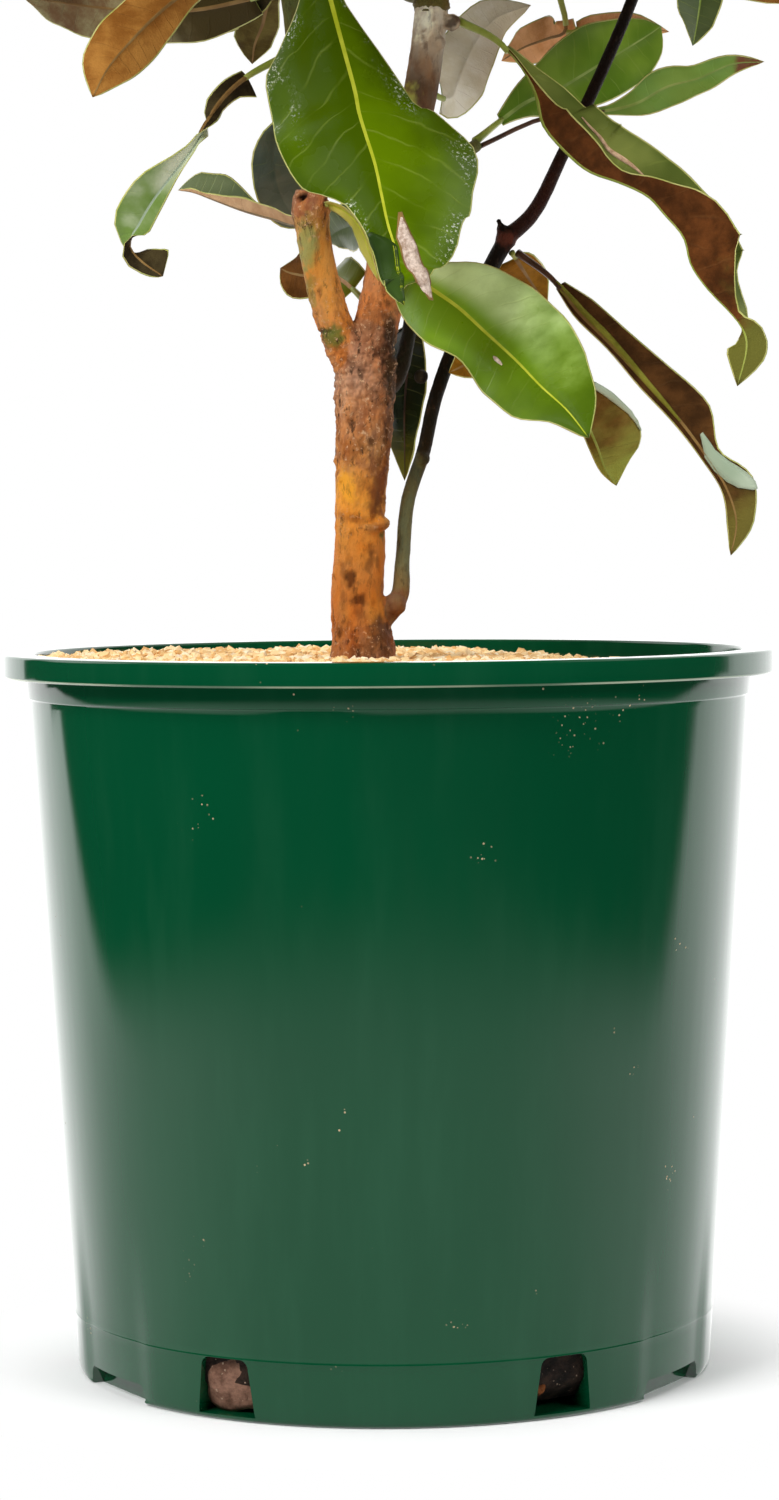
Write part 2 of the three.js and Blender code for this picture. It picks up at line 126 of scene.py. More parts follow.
paper_mesh = bpy.data.meshes.new("white_paper")
sheet = bmesh.new()
bmesh.ops.create_circle(sheet, cap_ends=True, segments=96, radius=PAPER_RADIUS)
sheet.to_mesh(paper_mesh)
sheet.free()
paper = link(bpy.data.objects.new("white_paper", paper_mesh))
finish = bpy.data.materials.new("white_paper")
finish.use_nodes = True
tree = finish.node_tree
tree.nodes.remove(tree.nodes["Principled BSDF"])
place = node(tree, "ShaderNodeTexCoord").outputs["Object"]
away = node(tree, "ShaderNodeVectorMath", {0: place}, operation="LENGTH").outputs["Value"]
white = node(tree, "ShaderNodeBsdfDiffuse", {"Color": (0.9, 0.9, 0.9, 1)})
side = node(tree, "ShaderNodeSeparateXYZ", {0: place}).outputs
mirrored = node(tree, "ShaderNodeLightPath").outputs["Is Glossy Ray"]
heading = calculate(tree, "DIVIDE", side["Y"], away)
shine = calculate(tree, "ADD", remap(tree, heading, *FRONT_SHINE), remap(tree, heading, *BACK_SHINE))
shine = calculate(tree, "ADD", product(tree, shine, mirrored), 1.0)
bright = node(tree, "ShaderNodeEmission", {"Color": (1, 1, 1, 1), "Strength": shine})
dark = node(tree, "ShaderNodeEmission", {"Color": (0.02, 0.025, 0.025, 1), "Strength": 1.0})
lit = calculate(tree, "MAXIMUM", remap(tree, away, *LIT_EDGE), mirrored)
near = node(tree, "ShaderNodeMixShader", {0: lit, 1: white.outputs[0], 2: bright.outputs[0]})
front = remap(tree, in_sweep(tree, side, SWEEP_HALF), *SWEEP_EDGE)
faded = product(tree, mirrored, remap(tree, away, *MIRROR_EDGE), front)
surface = node(tree, "ShaderNodeMixShader", {0: faded, 1: near.outputs[0], 2: dark.outputs[0]})
tree.links.new(surface.outputs[0], tree.nodes["Material Output"].inputs["Surface"])
paper.data.materials.append(finish)

studio = bpy.data.worlds.new("studio")
bpy.context.scene.world = studio
studio.use_nodes = True
tree = studio.node_tree
direction = node(tree, "ShaderNodeTexCoord").outputs["Generated"]
part = node(tree, "ShaderNodeSeparateXYZ", {0: direction}).outputs
wall = remap(tree, in_sweep(tree, part, 0.0), *WALL_EDGE)
mirrored = node(tree, "ShaderNodeLightPath").outputs["Is Glossy Ray"]
wall = product(tree, wall, calculate(tree, "ADD", mirrored, 1.0))
ceiling = remap(tree, part["Z"], *CEILING)
sides = remap(tree, calculate(tree, "ABSOLUTE", part["X"]), *CEILING_SIDES)
room = calculate(tree, "MAXIMUM", wall, product(tree, ceiling, sides))
for glow, strength in GLOWS:
    sockets = {0: direction, 1: Vector(glow).normalized()}
    toward = node(tree, "ShaderNodeVectorMath", sockets, operation="DOT_PRODUCT").outputs["Value"]
    room = calculate(tree, "ADD", room, remap(tree, toward, *GLOW_EDGE, 0.0, strength))
seen = node(tree, "ShaderNodeLightPath").outputs["Is Camera Ray"]
level = node(tree, "ShaderNodeMix", {0: seen, 2: room, 3: 1.0}).outputs[0]
tree.links.new(level, tree.nodes["Background"].inputs["Strength"])
tree.nodes["Background"].inputs["Color"].default_value = (1, 1, 1, 1)

for name, (place, height, size, power) in SOFT_BOXES.items():
    light = bpy.data.lights.new(name, "AREA")
    light.size = size
    light.energy = power
    lamp = link(bpy.data.objects.new(name, light))
    lamp.location = place
    lamp.rotation_euler = (Vector((0, 0, height)) - Vector(place)).to_track_quat("-Z", "Y").to_euler()
    lamp.visible_glossy = False

# Pot ----------------------------------------------------------------------------------------------
# A round nursery pot of glossy dark green plastic, injection moulded in one piece: a flat rolled
# rim over a short collar, a plain tapered wall, six drain holes and three notches in its foot.

POT_HEIGHT = 0.242
RIM_RADIUS = 0.130
RIM_DEPTH = 0.008
RIM_EDGE = 0.001
COLLAR_FOOT = POT_HEIGHT - 0.0155
COLLAR_STEP = 0.0009
COLLAR_CURVE = [(0.0, 0.0), (0.12, 0.35), (0.5, 0.75), (0.88, 0.97), (1.0, 1.3)]  # out and up, in steps
MOUTH_RADIUS = 0.1194
FOOT_RADIUS = 0.1071
FLARE = 0.015 / 0.242
FOOT_EDGE = 0.0024
POT_WALL = 0.0024
POT_FLOOR = 0.0035
CORNER_RADIUS = 0.098
CORNER_HEIGHT = 0.012
POT_SEGMENTS = 216
WALL_START = 0.0035
WALL_STEP = 0.0028
WALL_WAVE = 0.00022
PARTING_HEIGHT = 0.0205  # the fine raised line where the mould's halves met
PARTING_STEP = 0.00016
DRAIN_HEADINGS = [-120 + 60 * i for i in range(6)]
DRAIN_FOOT = 0.0018
DRAIN_TOP = 0.0204
DRAIN_WIDTH = 0.021
DRAIN_TOP_WIDTH = 0.0172
DRAIN_CORNER = 0.003
DRAIN_INWARD = 0.012  # m, how far the holes are cut into the floor's corner
NOTCH_HEADINGS = [-150 + 120 * i for i in range(3)]
NOTCH_HEIGHT = 0.0065
NOTCH_WIDTH = 0.041
NOTCH_DEPTH = 0.005
NOTCH_CORNER = 0.002
FLUTE_DEPTH = 0.0011  # the shallow flute in the wall above each notch
FLUTE_TOP = 0.075
FLUTE_FADE = 0.05
FLUTE_HALF = 13.5  # degrees
FLUTE_EDGE = 4.5  # degrees
CUTTER_REACH = 0.119
RIM_GLINT = (0.0001, 0.0003, 0.0006, 0.0009)  # m above the rim's foot, where its painted highlight, a pale line, starts and ends
# Where potting dust clings to the wall: how far each patch spreads, and its middle.
DUST_PATCHES = [(0.011, (0.059, -0.106, 0.2205)), (0.006, (0.029, -0.114, 0.182)),
                (0.005, (0.02, -0.107, 0.034)), (0.004, (-0.014, -0.121, 0.227))]


def srgb(code):
    """A colour written as six hex digits, as linear RGBA."""
    parts = [int(code[i:i + 2], 16) / 255 for i in (0, 2, 4)]
    return tuple(c / 12.92 if c <= 0.04045 else ((c + 0.055) / 1.055) ** 2.4 for c in parts) + (1.0,)


def speckle(tree, place, scale, detail, roughness=0.5):
    """The value of a noise pattern, around a half."""
    sockets = {"Vector": place, "Scale": scale, "Detail": detail, "Roughness": roughness}
    return node(tree, "ShaderNodeTexNoise", sockets).outputs[0]


def blend_colours(tree, share, first, second, blend_type="MIX"):
    """Mixes two colours, each a socket or a code of six hex digits."""
    first, second = [srgb(colour) if isinstance(colour, str) else colour for colour in (first, second)]
    sockets = {0: share, 6: first, 7: second}
    return node(tree, "ShaderNodeMix", sockets, data_type="RGBA", blend_type=blend_type).outputs[2]


def clamp(value):
    return min(max(value, 0.0), 1.0)


def new_material(name, **settings):
    """A material with its Principled shader's plain sockets set. Returns it, its tree, the shader and
    the Object coordinates."""
    made = bpy.data.materials.new(name)
    made.use_nodes = True
    shader = made.node_tree.nodes["Principled BSDF"]
    for key, value in settings.items():
        shader.inputs[key.replace("_", " ")].default_value = value
    return made, made.node_tree, shader, node(made.node_tree, "ShaderNodeTexCoord").outputs["Object"]


def paint(tree, shader, colour):
    tree.links.new(colour, shader.inputs["Base Color"])


def bump(tree, shader, height, depth, strength=1.0):
    sockets = {"Height": height, "Distance": depth, "Strength": strength}
    relief = node(tree, "ShaderNodeBump", sockets)
    tree.links.new(relief.outputs[0], shader.inputs["Normal"])


class Joined:
    """Gathers the vertices, faces and slots of many shapes into one mesh. In a leaf's, extra holds each
    vertex's place on the blade and its mm from the midrib."""

    def __init__(self):
        self.vertices, self.faces, self.slots, self.extra = [], [], [], []

    def add(self, vertices, faces, slot=0):
        start = len(self.vertices)
        self.vertices += vertices
        self.faces += [[i + start for i in face] for face in faces]
        self.slots += [slot] * len(faces)


def mesh_object(name, vertices, faces, materials=(), slots=None):
    """An object of a mesh, with a material slot for each face where slots says which."""
    mesh = bpy.data.meshes.new(name)
    mesh.from_pydata([tuple(v) for v in vertices], [], faces)
    for item in materials:
        mesh.materials.append(item)
    if slots is not None:
        mesh.polygons.foreach_set("material_index", slots)
    mesh.polygons.foreach_set("use_smooth", [True] * len(mesh.polygons))
    mesh.update()
    return link(bpy.data.objects.new(name, mesh))


def face_outward(mesh):
    """Turns the faces of a mesh's closed shapes outwards."""
    shape = bmesh.new()
    shape.from_mesh(mesh)
    bmesh.ops.recalc_face_normals(shape, faces=shape.faces)
    shape.to_mesh(mesh)
    shape.free()


def bake_modifiers(obj):
    """Makes an object's modified mesh its plain mesh."""
    graph = bpy.context.evaluated_depsgraph_get()
    mesh = bpy.data.meshes.new_from_object(obj.evaluated_get(graph), depsgraph=graph)
    obj.modifiers.clear()
    obj.data = mesh
    return obj


def finish_piece(obj, slot, *nodes):
    """Makes an object a piece of the tree, standing for the CAD nodes named, if any."""
    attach(obj, "root")
    if nodes:
        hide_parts(*nodes)


def wall_radius(z):
    return FOOT_RADIUS + FLARE * z


def inner_radius(z):
    return min(wall_radius(z) - POT_WALL, MOUTH_RADIUS)


def arc(radius, z, size, start, end, steps=5):
    """Points of a rounded edge, from one angle to another, in degrees."""
    angles = [math.radians(start + (end - start) * i / steps) for i in range(steps + 1)]
    return [(radius + size * math.cos(a), z + size * math.sin(a)) for a in angles]


def pot_profile():
    """The pot's outline from the middle of its underside, over the rim, to the middle of its floor."""
    outline = [(0.03 * i, 0.0) for i in range(4)]
    outline += arc(wall_radius(0) - FOOT_EDGE, FOOT_EDGE, FOOT_EDGE, -90, 0)
    heights = [WALL_START + WALL_STEP * i for i in range(80)]
    heights = [z for z in heights if z < COLLAR_FOOT - 0.001 and abs(z - PARTING_HEIGHT) > 0.0015]
    heights += [PARTING_HEIGHT - 0.0005, PARTING_HEIGHT + 0.0005]
    wall = [(wall_radius(z), z) for z in heights]
    wall.append((wall_radius(PARTING_HEIGHT) + PARTING_STEP, PARTING_HEIGHT))
    outline += sorted(wall, key=lambda point: point[1])
    collar = wall_radius(COLLAR_FOOT)
    outline += [(collar + COLLAR_STEP * a, COLLAR_FOOT + COLLAR_STEP * b) for a, b in COLLAR_CURVE]
    shoulder = POT_HEIGHT - RIM_DEPTH
    outline += [(wall_radius(shoulder) + COLLAR_STEP, z) for z in (shoulder - 0.001, shoulder)]
    outline += arc(RIM_RADIUS - RIM_EDGE, shoulder + RIM_EDGE, RIM_EDGE, -90, 0)
    outline += arc(RIM_RADIUS - RIM_EDGE, POT_HEIGHT - RIM_EDGE, RIM_EDGE, 0, 90)
    outline += arc(MOUTH_RADIUS + RIM_EDGE, POT_HEIGHT - RIM_EDGE, RIM_EDGE, 90, 180)
    outline += [(inner_radius(z), z) for z in (0.232, 0.222, 0.15, 0.08, 0.04, 0.024, CORNER_HEIGHT)]
    outline += [(CORNER_RADIUS, POT_FLOOR), (0.06, POT_FLOOR), (0.0, POT_FLOOR)]
    return outline


def flute(angle, z):
    """How far the wall lies in, in the flute above a notch."""
    depth = 0.0
    for heading in NOTCH_HEADINGS:
        off = abs((math.degrees(angle) - heading + 180) % 360 - 180)
        across = clamp((FLUTE_HALF - off) / FLUTE_EDGE)
        depth = max(depth, across * across * (3 - 2 * across))
    fade = clamp((FLUTE_TOP - z) / FLUTE_FADE)
    return FLUTE_DEPTH * depth * fade * fade


def turned(profile, segments, change=None):
    """A closed profile turned about Z. Points on the axis become single poles."""
    rings, vertices, faces = [], [], []
    for r, z in profile:
        if r < 1e-6:
            rings.append([len(vertices)] * segments)
            vertices.append((0, 0, z))
            continue
        rings.append(list(range(len(vertices), len(vertices) + segments)))
        for s in range(segments):
            angle = 2 * math.pi * s / segments
            radius = r + (change(angle, r, z) if change else 0)
            vertices.append((radius * math.cos(angle), radius * math.sin(angle), z))
    for low, high in zip(rings, rings[1:]):
        for s in range(segments):
            t = (s + 1) % segments
            corners = [low[s], low[t], high[t], high[s]]
            faces.append([c for i, c in enumerate(corners) if c not in corners[:i]])
    return vertices, faces


def wall_change(angle, r, z):
    """The moulded wall's slight waviness, and its flutes."""
    if r < wall_radius(z) - 0.0005 or z > COLLAR_FOOT:
        return 0.0
    wave = noise.noise(Vector((3 * math.cos(angle), 3 * math.sin(angle), 9 * z)))
    return WALL_WAVE * wave - flute(angle, z)


def radial_cutter(outline, heading, near, far):
    """A prism whose outline, across and up, stands out from the axis along a heading."""
    out, side = [Matrix.Rotation(math.radians(heading), 3, "Z") @ Vector(v) for v in ((1, 0, 0), (0, 1, 0))]
    count = len(outline)
    vertices = [side * x + out * d + Vector((0, 0, z)) for d in (near, far) for x, z in outline]
    faces = [[i, (i + 1) % count, (i + 1) % count + count, i + count] for i in range(count)]
    faces += [list(range(count))[::-1], list(range(count, 2 * count))]
    return vertices, faces


def opening(half, foot, corner):
    """An outline with a flat foot, and a rounded corner that is given on the right."""
    return [(-half, foot), (half, foot)] + corner + [(-x, z) for x, z in corner[::-1]]


def pot_plastic():
    """Deep green plastic: glossy, faintly smeared and scuffed, with dust here and there, and a painted
    highlight along the rim's lower edge.
    """
    made, tree, shader, place = new_material("pot_plastic")
    tall = node(tree, "ShaderNodeMapping", {0: place, 3: (1, 1, 0.14)}).outputs[0]
    cloud = speckle(tree, place, 9, 3)
    colour = blend_colours(tree, cloud, "003f24", "004a2b")
    smear = remap(tree, speckle(tree, tall, 60, 4, 0.6), 0.45, 0.75)
    colour = blend_colours(tree, product(tree, smear, 0.07), colour, "3f7458")
    grains = node(tree, "ShaderNodeTexVoronoi", {"Vector": place, "Scale": 620.0, "Randomness": 1.0})
    spot = remap(tree, grains.outputs["Distance"], 0.16, 0.26, 1.0, 0.0)
    rare = remap(tree, speckle(tree, place, 38, 3, 0.7), 0.64, 0.72)
    lot = node(tree, "ShaderNodeSeparateColor", {0: grains.outputs["Color"]}).outputs[0]
    dusty = product(tree, spot, rare, remap(tree, lot, 0.55, 0.6))
    for spread, middle in DUST_PATCHES:
        off = node(tree, "ShaderNodeVectorMath", {0: place, 1: middle}, operation="DISTANCE").outputs["Value"]
        close = remap(tree, off, spread * 0.35, spread, 1.0, 0.0)
        thick = product(tree, close, remap(tree, speckle(tree, place, 420, 2), 0.42, 0.6), spot)
        dusty = calculate(tree, "MAXIMUM", dusty, thick)
    colour = blend_colours(tree, dusty, colour, "c9b08c")
    height = node(tree, "ShaderNodeSeparateXYZ", {0: place}).outputs["Z"]
    # A pale line along the rim's lower edge: a painted highlight.
    limits = [POT_HEIGHT - RIM_DEPTH + up for up in RIM_GLINT]
    line = product(tree, remap(tree, height, *limits[:2]), remap(tree, height, *limits[2:], 1.0, 0.0),
                   remap(tree, speckle(tree, place, 14, 2), 0.35, 0.6, 0.15, 0.75))
    colour = blend_colours(tree, line, colour, "b9c2a4")
    paint(tree, shader, colour)
    dull = remap(tree, speckle(tree, tall, 26, 5, 0.62), 0.35, 0.8, 0.08, 0.17)
    dull = calculate(tree, "MAXIMUM", dull, product(tree, dusty, 0.9))
    tree.links.new(dull, shader.inputs["Roughness"])
    grain = calculate(tree, "ADD", speckle(tree, tall, 45, 3), product(tree, dusty, 0.5))
    bump(tree, shader, grain, 0.00025, 0.5)
    return made


vertices, faces = turned(pot_profile(), POT_SEGMENTS, wall_change)
pot = mesh_object("moulded_pot", vertices, faces)
cuts = Joined()
corner = arc(DRAIN_TOP_WIDTH / 2 - DRAIN_CORNER, DRAIN_TOP - DRAIN_CORNER, DRAIN_CORNER, 8, 90, 6)
drain = opening(DRAIN_WIDTH / 2, DRAIN_FOOT, corner)
for heading in DRAIN_HEADINGS:
    cuts.add(*radial_cutter(drain, heading, CORNER_RADIUS - DRAIN_INWARD, CUTTER_REACH))
corner = arc(NOTCH_WIDTH / 2 - 2 * NOTCH_CORNER, NOTCH_HEIGHT - NOTCH_CORNER, NOTCH_CORNER, 20, 90, 4)
notch = opening(NOTCH_WIDTH / 2, -0.001, corner)
chord = FOOT_RADIUS * math.cos(math.asin(NOTCH_WIDTH / 2 / FOOT_RADIUS))
for heading in NOTCH_HEADINGS:
    cuts.add(*radial_cutter(notch, heading, chord - NOTCH_DEPTH, CUTTER_REACH))
cutter = mesh_object("pot_cutter", cuts.vertices, cuts.faces)
for item in (pot, cutter):
    face_outward(item.data)
cut = pot.modifiers.new("cut", "BOOLEAN")
cut.operation, cut.solver, cut.object = "DIFFERENCE", "EXACT", cutter
bake_modifiers(pot)
bpy.data.objects.remove(cutter)
pot.data.materials.clear()
pot.data.materials.append(pot_plastic())
pot.data.polygons.foreach_set("material_index", [0] * len(pot.data.polygons))
pot.data.polygons.foreach_set("use_smooth", [True] * len(pot.data.polygons))
pot.data.set_sharp_from_angle(angle=math.radians(32))
finish_piece(pot, "pot_plastic", "pot")

# Potting mix --------------------------------------------------------------------------------------
# The root ball: moist composted bark, held together by fine roots. It fills the pot, and lumps of
# bark show in the drain holes.

BALL_TOP = 0.232
BALL_FOOT = 0.0042
BALL_STEP = 0.004
BALL_ROWS = 55
BALL_GAP = 0.0006  # m between the mix and the pot's inside
BALL_SEGMENTS = 144
LUMPS_IN_HOLE = 7
LUMP_DEPTHS = (0.0975, 0.1015)  # m from the axis
LUMP_SIDE = 0.0075  # m either way of the hole's middle
LUMP_HEIGHTS = (0.005, 0.017)
LUMP_SIZES = (0.0016, 0.0042)
# The one large lump that fills most of the first hole: middle and half sizes.
LARGE_LUMP = ((0.1001, -0.0008, 0.0122), (0.0052, 0.0108, 0.0112))
LARGE_LUMP_TILT = 0.1


def soil_change(angle, r, z):
    if r < 0.05:
        return 0.0
    where = Vector((r * math.cos(angle), r * math.sin(angle), z)) * 160
    return -0.0014 * abs(noise.fractal(where, 1.0, 2.0, 3))


def clouded(tree, place, codes, scale, detail=3, roughness=0.5, full=0.65):
    """Soft clouds of a deeper and a lighter colour."""
    cloud = remap(tree, speckle(tree, place, scale, detail, roughness), 0.35, full)
    return blend_colours(tree, cloud, *codes)


def read_out(shape):
    """The vertices and faces of a bmesh, which is then freed."""
    vertices = [v.co.copy() for v in shape.verts]
    faces = [[v.index for v in f.verts] for f in shape.faces]
    shape.free()
    return vertices, faces


def bark_lump(middle, size, turn, seed):
    """One rough lump of bark, as a bent icosphere."""
    lump = bmesh.new()
    bmesh.ops.create_icosphere(lump, subdivisions=3, radius=1.0)
    spin = turn.to_matrix()
    for v in lump.verts:
        rough = 1 + 0.35 * noise.noise(v.co * 1.3 + Vector((seed, 0, 0)))
        rough += 0.08 * noise.noise(v.co * 6 + Vector((0, seed, 0)))
        v.co = Vector(middle) + spin @ Vector(c * rough * s for c, s in zip(v.co, size))
    return read_out(lump)


def potting_mix(name, *codes):
    made, tree, shader, place = new_material(name, Roughness=0.85, Specular_IOR_Level=0.35)
    colour = clouded(tree, place, codes, 160, 5, 0.7, 0.7)
    flecks = remap(tree, speckle(tree, place, 700, 2), 0.68, 0.74)
    colour = blend_colours(tree, flecks, colour, "b9a08a")
    paint(tree, shader, colour)
    bump(tree, shader, speckle(tree, place, 480, 6, 0.7), 0.0012)
    return made


dice = random.Random(11)
heights = [CORNER_HEIGHT + BALL_STEP * i for i in range(BALL_ROWS)]
ball_profile = [(radius, BALL_FOOT) for radius in (0.0, 0.05, CORNER_RADIUS - BALL_GAP)]
ball_profile += [(inner_radius(z) - BALL_GAP, z) for z in heights]
ball_profile += [(0.09, BALL_TOP), (0.045, BALL_TOP), (0.0, BALL_TOP)]
mix = Joined()
mix.add(*turned(ball_profile, BALL_SEGMENTS, soil_change))
for number, heading in enumerate(DRAIN_HEADINGS):
    out = Matrix.Rotation(math.radians(heading), 3, "Z")
    lumps = [(*LARGE_LUMP, 1)] if number == 0 else []
    for _ in range(LUMPS_IN_HOLE):
        where = (dice.uniform(*LUMP_DEPTHS), dice.uniform(-LUMP_SIDE, LUMP_SIDE), dice.uniform(*LUMP_HEIGHTS))
        size = [dice.uniform(*LUMP_SIZES) for _ in range(3)]
        lumps.append((where, size, dice.choice((0, 0, 2)) if number else 0))
    for where, size, slot in lumps:
        if slot == 1:
            turn = Euler((LARGE_LUMP_TILT, LARGE_LUMP_TILT, math.radians(heading)))
        else:
            turn = Euler([dice.uniform(0, 6) for _ in range(3)])
        mix.add(*bark_lump(out @ Vector(where), size, turn, dice.uniform(0, 90)), slot)
mixes = [potting_mix("potting_mix", "0d0805", "3a2a20"), potting_mix("bark_lump", "5c3f31", "9c7561"),
         potting_mix("bark_shred", "3f200e", "8a4f24")]
ball = mesh_object("root_ball_mix", mix.vertices, mix.faces, mixes, mix.slots)
face_outward(ball.data)
finish_piece(ball, "potting_mix", "root_ball")

# Wood chips ---------------------------------------------------------------------------------------
# A thin mulch of dry, pale wood chips, tipped onto the potting mix and levelled by hand. It lies a
# little higher on the left.

CHIP_COUNT = 5200
BED_TOP = 0.2388
BED_FOOT = 0.2325
BED_TILT = -0.011
BED_DIP = 0.0032  # m, how much lower the bed lies on the right
BED_RADIUS = 0.1188
BED_SEGMENTS = 120
BED_RINGS = 40
CHIP_SHAPES = 5
CHIP_SIZE = (0.0024, 0.0015, 0.0009)
CHIP_SCALES = (0.55, 1.35)
CHIP_TILT = 0.7  # radians, the most that a chip leans


def bed_height(x, y):
    dip = clamp((x - 0.02) / 0.07)
    level = BED_TOP - BED_DIP * dip * dip * (3 - 2 * dip)
    return level + BED_TILT * x - 0.0005 + 0.0007 * noise.noise(Vector((x, y, 0)) * 55)


def chip_shape(number):
    """A splintered chip: a rough block with its corners knocked off."""
    chip = bmesh.new()
    bmesh.ops.create_icosphere(chip, subdivisions=1, radius=1.0)
    for v in chip.verts:
        off = 1 + 0.4 * noise.noise(v.co * 2.1 + Vector((7.7 * number, 0, 0)))
        blocky = [math.copysign(abs(c) ** 0.55, c) for c in v.co]
        v.co = Vector(c * s * off for c, s in zip(blocky, CHIP_SIZE))
    mesh = bpy.data.meshes.new(f"chip_{number}")
    chip.to_mesh(mesh)
    chip.free()
    return bpy.data.objects.new(f"chip_{number}", mesh)


def geometry_tree(name, sockets):
    """A Geometry Nodes tree with named inputs. Returns it, its input node and its output node."""
    tree = bpy.data.node_groups.new(name, "GeometryNodeTree")
    tree.interface.new_socket("Geometry", in_out="INPUT", socket_type="NodeSocketGeometry")
    tree.interface.new_socket("Geometry", in_out="OUTPUT", socket_type="NodeSocketGeometry")
    for title, kind in sockets:
        tree.interface.new_socket(title, in_out="INPUT", socket_type=kind)
    return tree, tree.nodes.new("NodeGroupInput"), tree.nodes.new("NodeGroupOutput")


def children(tree, collection):
    """The objects of a collection, each as an instance of its own."""
    sockets = {"Collection": collection, "Separate Children": True, "Reset Children": True}
    return node(tree, "GeometryNodeCollectionInfo", sockets).outputs[0]


def collect(name, objects):
    """A collection of objects, outside the scene."""
    made = bpy.data.collections.new(name)
    for item in objects:
        made.objects.link(item)
    return made


def run_tree(obj, tree, **values):
    """Runs a Geometry Nodes tree on an object, with its inputs set, and keeps the plain mesh."""
    modifier = obj.modifiers.new(tree.name, "NODES")
    modifier.node_group = tree
    for item in tree.interface.items_tree:
        if item.in_out == "INPUT" and item.name in values:
            modifier[item.identifier] = values[item.name]
    return bake_modifiers(obj)


def chip_tree(material):
    """Scatters turned and sized chips over a surface, each with a tone of its own."""
    sockets = [("Chips", "NodeSocketCollection"), ("Density", "NodeSocketFloat"), ("Seed", "NodeSocketInt")]
    tree, source, target = geometry_tree("scatter_chips", sockets)
    ground = source.outputs["Geometry"]
    spread = {"Mesh": ground, "Density": source.outputs["Density"], "Seed": source.outputs["Seed"]}
    points = node(tree, "GeometryNodeDistributePointsOnFaces", spread).outputs["Points"]
    turns = {0: (-CHIP_TILT, -CHIP_TILT, 0.0), 1: (CHIP_TILT, CHIP_TILT, 6.28)}
    turn = node(tree, "FunctionNodeRandomValue", turns, data_type="FLOAT_VECTOR")
    sizes = {2: CHIP_SCALES[0], 3: CHIP_SCALES[1]}
    size = node(tree, "FunctionNodeRandomValue", sizes, data_type="FLOAT")
    placed = node(tree, "GeometryNodeInstanceOnPoints", {
        "Points": points, "Instance": children(tree, source.outputs["Chips"]), "Pick Instance": True,
        "Rotation": turn.outputs[0], "Scale": size.outputs[1]})
    tone = node(tree, "FunctionNodeRandomValue", {2: 0.0, 3: 1.0, "Seed": 5}, data_type="FLOAT")
    named = node(tree, "GeometryNodeStoreNamedAttribute", {
        "Geometry": placed.outputs[0], "Name": "chip_tone", "Value": tone.outputs[1]},
        data_type="FLOAT", domain="INSTANCE")
    loose = node(tree, "GeometryNodeRealizeInstances", {0: named.outputs[0]})
    both = node(tree, "GeometryNodeJoinGeometry")
    tree.links.new(loose.outputs[0], both.inputs[0])
    tree.links.new(ground, both.inputs[0])
    done = node(tree, "GeometryNodeSetMaterial", {"Geometry": both.outputs[0], "Material": material})
    tree.links.new(done.outputs[0], target.inputs[0])
    return tree


def chip_wood():
    """Dry pale wood, each chip its own shade from straw to toffee."""
    made, tree, shader, place = new_material("wood_chips", Roughness=0.75)
    shade = node(tree, "ShaderNodeAttribute", attribute_name="chip_tone").outputs["Fac"]
    colour = blend_colours(tree, remap(tree, shade, 0.05, 0.55), "e0b070", "ffe0a8")
    colour = blend_colours(tree, remap(tree, shade, 0.6, 0.95), colour, "fff2d2")
    fibre = speckle(tree, node(tree, "ShaderNodeMapping", {0: place, 3: (1, 0.3, 1)}).outputs[0], 2400, 3)
    colour = blend_colours(tree, product(tree, fibre, 0.25), colour, "c8924e")
    paint(tree, shader, colour)
    bump(tree, shader, fibre, 0.0002)
    return made


bed_profile = [(radius, BED_FOOT) for radius in (0.0, 0.06, BED_RADIUS)]
bed_profile += [(BED_RADIUS * (1 - i / BED_RINGS), BED_TOP) for i in range(BED_RINGS + 1)]
vertices, faces = turned(bed_profile, BED_SEGMENTS)
vertices = [(x, y, bed_height(x, y) if z > BED_FOOT else z) for x, y, z in vertices]
bed = mesh_object("mulch_bed", vertices, [face[::-1] for face in faces])
face_outward(bed.data)
chips = collect("chips", [chip_shape(number) for number in range(CHIP_SHAPES)])
density = CHIP_COUNT / (2 * math.pi * BED_RADIUS ** 2)
run_tree(bed, chip_tree(chip_wood()), Chips=chips, Density=density, Seed=4)
finish_piece(bed, "wood_chips", "mulch")

# Stems --------------------------------------------------------------------------------------------
# The woody stems are one grown piece: the trunk with its cut left limb, the leader, and the thin
# shoots that left them later. The bark is smooth and orange, with rough brown scars and rings.
# Some of its colour is painted light: dark patches of shade on the trunk's right side, a pale highlight and a
# pale tint on the leader, and shade in the rings' grooves.

MM = 0.001
VOXEL = 0.0007
STEM_SIDES = 28
STEM_SAMPLES = 160
FULL_RADIUS = 8  # mm, the radius from which a stem's bark has its full relief
STOUT = 0.6  # the share of that radius above which the bark is old
POINTS_AT_ONCE = 4000
BLUSH_TOP = 398  # mm, the height where the bark's orange blush ends
LEADER_SPLIT = 0.560  # the share of the leader's line where the crown's own piece takes over
